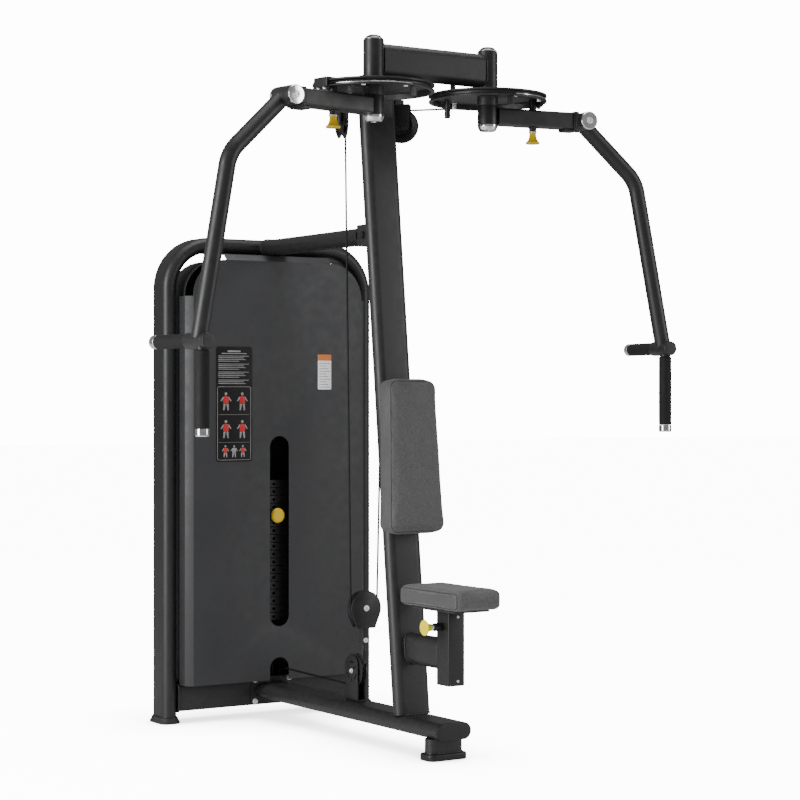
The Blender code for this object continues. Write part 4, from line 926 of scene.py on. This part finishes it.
def front_cover():
    """The folded front sheet: straight edges bent back at an angle, and open round corners."""
    half, low, high, corner = 0.3172, 0.1235, 1.4975, 0.12
    face = [rounded_rectangle((-half, low), (half, high), (0.002, 0.002, corner, corner), 12)]
    slot = 0.036
    face.append(rounded_rectangle((-slot, 0.299), (slot, 0.924), slot - 0.0001, 12))
    sheet = panel(face, 0.0024, 0.0008, at(0, 0.4925, 0) @ FACING_FRONT)
    notch = rounded_rectangle((-slot, 0.06), (slot, 0.197), (0.002, 0.002, slot, slot), 12)
    sheet = cut_by(sheet, panel([notch], 0.03, 0.0002, at(0, 0.505, 0) @ FACING_FRONT))
    lip = [(0, 0), (0.0205, -0.0205), (0.0205, -0.06), (0.0188, -0.06), (0.0188, -0.0212), (0, -0.0024)]
    section = softened(lip, 0.0008, True, 2)
    bent = []
    for side in (-1, 1):
        outline = [(side * (half - 0.0006 + x), 0.4904 - y) for x, y in section]
        bent.append(panel([outline], high - corner - low, 0.0003, at(0, 0, low)))
    outline = [(0.4904 - y, high - 0.0006 + x) for x, y in section]
    bent.append(panel([outline], 2 * (half - corner), 0.0003, at(corner - half, 0, 0) @ FACING_SIDE))
    return joined(sheet, *bent)


def build_shrouds():
    piece("front_cover", front_cover(), SHEET, "root", "front_shroud")
    keep_node("rear_shroud", SHEET, 0.0011)
    fold = block((-0.3, 0.62, 0.1221), (0.3, 0.6585, 0.124), 0.0004)
    piece("rear_cover_fold", fold, SHEET, "root")
    keep_node("shroud_hook", PAINT, 0.002)
    screw = socket_bolt(0.005, 0.0028)
    screws = [placed(screw, at(side * 0.285, 0.6599, height) @ facing(0, 1, 0))
              for side in (-1, 1) for height in (0.165, 0.76, 1.33)]
    piece("shroud_screws", joined(*screws), NYLON, "root")


def printed(outlines, low_z, thick=0.0005):
    """A thin raised print of flat outlines, the first filled and the others holes."""
    return placed(panel(outlines, thick, 0.00012), at(0, 0, low_z))


def print_bars(rows, low_z):
    """Thin raised bars, one for each (left, top, wide, high) row."""
    return [printed([rounded_rectangle((left, top - high), (left + wide, top), high * 0.3, 3)], low_z)
            for left, top, wide, high in rows]


def figure_parts(centre, size):
    """A plain pictogram of a person: grey head and limbs, and a red trunk."""
    x, y = centre
    head = [circle(0.16 * size, 20, (x, y + 0.78 * size))]
    limbs = []
    for side in (-1, 1):
        arm = [(x + side * 0.34 * size, y + 0.5 * size), (x + side * 0.66 * size, y + 0.02 * size),
               (x + side * 0.56 * size, y - 0.04 * size), (x + side * 0.24 * size, y + 0.36 * size)]
        leg = [(x + side * 0.04 * size, y - 0.3 * size), (x + side * 0.3 * size, y - 0.3 * size),
               (x + side * 0.34 * size, y - 1.00 * size), (x + side * 0.18 * size, y - 1.00 * size)]
        limbs += [arm, leg]
    trunk = rounded_rectangle((x - 0.34 * size, y - 0.26 * size), (x + 0.34 * size, y + 0.54 * size),
                              (0.1 * size, 0.1 * size, 0.26 * size, 0.26 * size), 5)
    return head + limbs, trunk


def build_placards():
    """Text-free stand-ins for the instruction placard and the small label."""
    place = at(-0.17, 0.4899, 1.0295) @ FACING_FRONT
    board = panel([centred(0.066, 0.1865, 0.009)], 0.0012, 0.0004)
    piece("placard_board", placed(board, place), PLACARD, "root")
    rows = [(-0.024, 0.174, 0.048, 0.0052), (-0.046, 0.1655, 0.092, 0.0026)]
    for line in range(15):
        group = line // 4
        wide = 0.112 - 0.006 * ((line * 7) % 4) - (0.03 if line % 4 == 3 else 0)
        rows.append((-0.058, 0.157 - line * 0.0056 - group * 0.0036, wide, 0.0021))
    outer = rounded_rectangle((-0.0615, -0.1815), (0.0615, 0.057), 0.007)
    inner = rounded_rectangle((-0.0602, -0.1802), (0.0602, 0.0557), 0.006)
    lines = print_bars(rows, 0.0011)
    lines.append(printed([outer, inner], 0.0011))
    lines += print_bars([(-0.056, -0.0335, 0.112, 0.0008), (-0.056, -0.1235, 0.112, 0.0008)], 0.0011)
    red = []
    for x, y, size in ((-0.03, 0.01, 0.03), (0.03, 0.01, 0.03), (-0.03, -0.08, 0.03),
                       (0.03, -0.08, 0.03), (-0.032, -0.152, 0.02), (0, -0.152, 0.02),
                       (0.032, -0.152, 0.02)):
        outlines, trunk = figure_parts((x, y), size)
        lines += [printed([outline], 0.0011) for outline in outlines]
        target = red if size > 0.025 or x else lines
        target.append(printed([trunk], 0.0011, 0.0006))
    piece("placard_lines", placed(joined(*lines), place), PRINT_GREY, "root")
    piece("placard_figures", placed(joined(*red), place), PRINT_RED, "root")
    place = at(0.1715, 0.4899, 1.136) @ FACING_FRONT
    card = panel([centred(0.0255, 0.058, 0.002)], 0.0008, 0.0002)
    piece("label_card", placed(card, place), PRINT_WHITE, "root")
    header = panel([rounded_rectangle((-0.0255, 0.038), (0.0255, 0.058), 0.002)], 0.0005, 0.0001)
    piece("label_header", placed(header, place @ at(0, 0, 0.0007)), PRINT_ORANGE, "root")
    rows = [(-0.021, 0.03 - line * 0.0088, 0.042 - 0.007 * ((line * 5) % 3), 0.0022) for line in range(10)]
    piece("label_lines", placed(joined(*print_bars(rows, 0.0007)), place), PRINT_GREY, "root")


# ---------------------------------------------------------------- pads and seat

def cushion(name, mesh, low, high, swell, banded, matrix, node, body):
    """A pad blown up by a short cloth run; its points stay near the start form and inside low to high.

    banded says which faces, by their middle and normal, belong to the smooth side band.
    """
    item = linked(name, mesh)
    remesh = item.modifiers.new("remesh", "REMESH")
    remesh.mode = "VOXEL"
    remesh.voxel_size = 0.0045
    bpy.context.view_layer.update()
    form = evaluated(item)
    item.modifiers.clear()
    item.data = form
    start = [vertex.co.copy() for vertex in form.vertices]
    cloth = item.modifiers.new("air", "CLOTH")
    cloth.settings.use_pressure = True
    cloth.settings.uniform_pressure_force = 4.0
    cloth.settings.effector_weights.gravity = 0.0
    cloth.settings.tension_stiffness = 30.0
    cloth.settings.compression_stiffness = 30.0
    cloth.settings.bending_stiffness = 4.0
    scene = bpy.context.scene
    for number in range(1, 21):
        scene.frame_set(number)
    blown = evaluated(item)
    scene.frame_set(1)
    item.modifiers.clear()
    for vertex, puffed, first in zip(form.vertices, blown.vertices, start):
        shift = puffed.co - first
        if shift.length > swell:
            shift *= swell / shift.length
        vertex.co = first + shift
    work = bmesh.new()
    work.from_mesh(form)
    for _ in range(3):
        bmesh.ops.smooth_vert(work, verts=work.verts, factor=0.5,
                              use_axis_x=True, use_axis_y=True, use_axis_z=True)
    for vertex in work.verts:
        vertex.co = [min(max(value, least), most) for value, least, most in zip(vertex.co, low, high)]
    work.to_mesh(form)
    work.free()
    form.materials.clear()
    form.materials.append(VINYL)
    form.materials.append(SIDE_VINYL)
    for face in form.polygons:
        face.material_index = 1 if banded(face.center, face.normal) else 0
        face.use_smooth = True
    smooth = item.modifiers.new("smooth", "SUBSURF")
    smooth.levels = 1
    smooth.render_levels = 1
    form.transform(matrix)
    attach(item, body)
    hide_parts(node)
    return item


def seam(name, pad, points, matrix, body, radius=0.0013):
    """A corded seam that follows the pad's own skin near a closed path."""
    skin = BVHTree.FromObject(pad, bpy.context.evaluated_depsgraph_get())
    lying = []
    for point in points:
        place, normal, _, _ = skin.find_nearest(matrix @ Vector(point))
        lying.append(place - normal * radius * 0.35)
    evened = [(lying[index - 1] + lying[index] * 2 + lying[(index + 1) % len(lying)]) / 4
              for index in range(len(lying))]
    return piece(name, round_cable(evened + evened[:2], radius, 10), SEAM_CORD, body)


def back_outline(inset, radius=0.03):
    """The back pad from the front: a tapered rectangle with round corners, low edge at y = 0."""
    low = 0.1 - inset
    high = 0.084 - inset
    top = 0.46 - inset
    corners = [(low, inset), (high, top), (-high, top), (-low, inset)]
    start = (0, inset)
    return filleted([start, *corners, start], radius - inset, 8)[:-1]


def build_back():
    slope = (-0.315 + 0.344) / 0.46
    axes = leaning(slope, -0.344 + 0.062 - 0.646 * slope) @ at(0, 0, 0.646) @ FACING_FRONT
    thick = 0.061
    form = panel([back_outline(0.001)], thick + 0.008, 0.0085, at(0, 0, -0.0085))
    pad = cushion("back_cushion", form, (-0.101, 0.0, -0.009), (0.101, 0.46, 0.0655), 0.0045,
                  lambda middle, normal: middle.z < thick - 0.0045, axes, "back_pad", "root")
    front = [(x, y, thick - 0.003) for x, y in paced(back_outline(0.004))]
    seam("back_front_seam", pad, front, axes, "root")
    rear = [(x, y, -0.004) for x, y in paced(back_outline(0.001))]
    seam("back_rear_seam", pad, rear, axes, "root")
    keep_node("back_pad_board", PAINT)


def build_seat():
    thick = 0.0555
    place = at(0, 0, 0.445)
    outline = rounded_rectangle((-0.0825, -0.6605), (0.0825, -0.3495), 0.025, 8)
    form = panel([outline], thick - 0.001, 0.0125, at(0, 0, 0.0005))
    band = 0.0775
    pad = cushion("seat_cushion", form, (-0.0845, -0.6625, 0.0), (0.0845, -0.3475, 0.059), 0.0045,
                  lambda middle, normal: abs(middle.x) > band and abs(normal.x) > 0.3,
                  place, "seat_pad", "seat")
    side = rounded_rectangle((-0.656, 0.0035), (-0.354, thick - 0.0035), 0.012, 6)
    for name, x in (("left", -band - 0.0015), ("right", band + 0.0015)):
        seam(f"seat_seam_{name}", pad, [(x, y, z) for y, z in paced(side)], place, "seat")
    keep_node("seat_tube", CHROME, 0.0006)
    tube = NODES["seat_tube"].data
    tube.materials.append(NYLON)
    for face in tube.polygons:
        if face.center.z > 0.4365:
            face.material_index = 1
    outer = centred(0.028, 0.032, 0.0035, 6)
    inner = centred(0.0248, 0.0288, 0.002, 6)
    sleeve = panel([outer, inner], 0.214, 0.0007, at(0, -0.51, 0.219))
    plug = panel([centred(0.0246, 0.0286, 0.002, 6)], 0.004, 0.0006,
                 at(0, -0.51, 0.22))
    housing = placed(hollow(0.0056, 0.0115, 0, 0.028, 44, 0.0009),
                     at(-0.028, *SEAT_PIN) @ facing(-1, 0, 0))
    piece("seat_sleeve_form", joined(sleeve, housing, plug), PAINT, "root", "seat_sleeve")
    screw = socket_bolt(0.0042, 0.0024)
    screws = [placed(screw, at(0.004, -0.5419, height) @ facing(0, -1, 0)) for height in (0.4185, 0.233)]
    piece("sleeve_screws", joined(*screws), ZINC, "root")
    stub = swept(flat_oval(0.092, OVAL_THICK), [(0, -0.4776), (0, post_y(STUB_Z) - 0.015)], at(0, 0, STUB_Z))
    piece("seat_stub", stub, PAINT, "root", "seat_bracket")
    face = post_y(0) - OVAL_THICK / 2
    around = flat_oval(0.094, 0.052)
    bead = [Vector((x, face + (STUB_Z + y) * POST_SLOPE - 0.001, STUB_Z + y)) for x, y in around]
    weld_bead("seat_stub_bead", bead, "root")
    weld_bead("sleeve_bead", [Vector((x, -0.4785, STUB_Z + y)) for x, y in around], "root", 0.0022)
    turn = at(0, *SEAT_PIN) @ facing(-1, 0, 0)
    plunger = lathe([(0, 0.0665), (0.009, 0.0665), (0.009, 0.06), (0.005, 0.059), (0.005, 0.029),
                     (0.0035, 0.0252), (0, 0.0252)], 40, 0.0005)
    piece("seat_plunger", placed(plunger, turn), ZINC, "seat_pull_pin", "seat_pull_pin")
    knob = lathe([(0, 0.0913), (0.018, 0.0908), (0.0222, 0.0893), (0.023, 0.0875), (0.0222, 0.086),
                  (0.016, 0.0838), (0.0122, 0.0795), (0.0108, 0.07), (0.0108, 0.0667), (0, 0.0667)],
                 56, 0.001)
    piece("seat_knob", placed(knob, turn), SEAT_YELLOW, "seat_pull_pin")


# ---------------------------------------------------------------- cables

def in_plane(points, origin, axes):
    return [axes @ Vector((*point, 0)) + Vector(origin) for point in points]


def straight(start, end, steps=24):
    return [start.lerp(end, step / steps) for step in range(steps)]


def build_cables():
    turn = Matrix.Rotation(HEAD_RUN, 4, "Z") @ FACING_FRONT
    over = in_plane(arc((0, 0), GROOVE, math.pi, math.pi / 2, 16), HEAD_PULLEY, turn)
    tangent = HEAD_RUN + math.pi / 2
    around = [Vector((x, y, CABLE_Z)) for x, y in
              arc((PIVOT.x, PIVOT.y), CAM_GROOVE, tangent, math.radians(-50), 40)]
    path = over[:-1] + straight(over[-1], around[0], 12) + around
    pair("cam_cable", round_cable(path), JACKET, "root", "cable_head_{}", matrix=Matrix.Identity(4))
    wrap = [Vector((x, y, CABLE_Z)) for x, y in
            arc((0, 0), 0.171, tangent + ARM_SWEEP, math.radians(-50) + ARM_SWEEP, 40)]
    pair("cam_wrap", round_cable(wrap, 0.0028), JACKET, "{}_cam")

    hang = over[0]
    under = in_plane(arc((0, 0), GROOVE, math.pi, math.tau, 28), FLOATING_PULLEY, FACING_FRONT)
    path = straight(MIRROR @ hang, under[0], 40) + under + straight(hang, under[-1], 40)[::-1]
    arms = piece("arm_cable", round_cable(path), JACKET, None, "cable_arms")
    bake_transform(arms)

    front = FLOOR_PULLEY[1] - GROOVE
    path = straight(Vector((0, front, 0.3)), Vector((0, front, 0.204)), 12)
    link = piece("link_cable", round_cable(path), JACKET, None, "cable_link")
    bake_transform(link)
    sleeve = lathe([(0.0031, 0.3), (0.0056, 0.3), (0.0062, 0.2955), (0.0062, 0.276), (0.0052, 0.27),
                    (0.0031, 0.27)], 32, 0.0005)
    piece("link_sleeve", placed(sleeve, at(0, front, 0)), NYLON, "floating_block")

    first = in_plane(arc((0, 0), GROOVE, math.pi, 1.5 * math.pi, 16), FLOOR_PULLEY, FACING_SIDE)
    second = in_plane(arc((0, 0), GROOVE, 1.5 * math.pi, math.tau, 16), BASE_PULLEY, FACING_SIDE)
    third = in_plane(arc((0, 0), TOP_GROOVE, 0, math.pi, 20), TOP_PULLEY, FACING_SIDE)
    path = first[:-1] + straight(first[-1], second[0], 16)
    path += second[:-1] + straight(second[-1], third[0], 24) + third
    piece("tower_cable", round_cable(path), JACKET, "root", "cable_tower")

    under = in_plane(arc((0, 0), STACK_GROOVE, math.pi, math.tau, 20), STACK_PULLEY, FACING_FRONT)
    path = straight(Vector((-STACK_GROOVE, STACK_Y, 1.4517)), under[0], 24) + under
    path += straight(Vector((STACK_GROOVE, STACK_Y, 1.3985)), under[-1], 24)[::-1]
    stack = piece("stack_cable", round_cable(path), JACKET, None, "cable_stack")
    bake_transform(stack)


def build_small_bolts():
    """The bolted plate between the base beam and the tower, with its four bolts."""
    outline = rounded_rectangle((-0.078, 0.041), (0.078, 0.131), 0.004)
    plate = panel([outline], 0.004, 0.0008, at(0, 0.5448, 0) @ FACING_FRONT)
    outline = [(y * 1.01, BEAM_Z + x * 1.01) for x, y in flat_oval(OVAL_WIDE, OVAL_THICK)]
    beam = panel([outline], 0.02, 0.0002, at(0, 0.55, 0) @ FACING_FRONT)
    piece("beam_plate", cut_by(plate, beam), PAINT, "root")
    bolt = hex_bolt(0.013, 0.007)
    bolts = [placed(bolt, at(x, 0.5409, z) @ facing(0, -1, 0))
             for x in (-0.064, 0.064) for z in (0.051, 0.1215)]
    piece("beam_plate_bolts", joined(*bolts), ZINC, "root")


# ---------------------------------------------------------------- floor, light and camera

def area_light(name, place, target, size, power):
    light = bpy.data.lights.new(name, "AREA")
    light.shape = "RECTANGLE"
    light.size = size[0]
    light.size_y = size[1]
    light.energy = power
    item = linked(name, light)
    item.location = place
    item.rotation_euler = (Vector(target) - Vector(place)).to_track_quat("-Z", "Y").to_euler()


def build_studio():
    floor = bpy.data.meshes.new("floor")
    floor.from_pydata([(-40, -40, 0), (40, -40, 0), (40, 40, 0), (-40, 40, 0)], [], [(0, 1, 2, 3)])
    floor.materials.append(FLOOR)
    linked("floor", floor)
    world = bpy.data.worlds.new("studio")
    world.use_nodes = True
    tree = world.node_tree
    background = tree.nodes["Background"]
    background.inputs["Color"].default_value = (1.0, 1.0, 1.0, 1.0)
    seen = add_node(tree, "ShaderNodeLightPath").outputs["Is Camera Ray"]
    strength = add_node(tree, "ShaderNodeMapRange", {"Value": seen, "To Min": AMBIENT, "To Max": BACKDROP})
    tree.links.new(strength.outputs["Result"], background.inputs["Strength"])
    bpy.context.scene.world = world
    area_light("left_key", (-4.4, -0.6, 1.9), (0, 0, 0.9), (1.8, 3.4), 225)
    area_light("front_strip", (3.4, -3.4, 2.0), (0, -0.2, 1.0), (0.9, 2.8), 60)
    area_light("top", (0.2, -0.4, 4.4), (0, 0, 0.5), (2.2, 2.2), 70)
    camera = bpy.data.cameras.new("camera")
    camera.lens = 95.08
    camera.sensor_width = 36.0
    view = linked("camera", camera)
    view.location = (-3.4311, -5.564, 1.0429)
    view.rotation_euler = (math.radians(90), 0, math.radians(-32.8023))
    bpy.context.scene.camera = view


build_tower()
build_base()
build_brace()
build_head()
build_cams()
build_upper_arms()
build_lower_arms()
build_pulleys()
build_stack()
build_tower_inside()
build_shrouds()
build_placards()
build_back()
build_seat()
build_cables()
build_small_bolts()
build_studio()
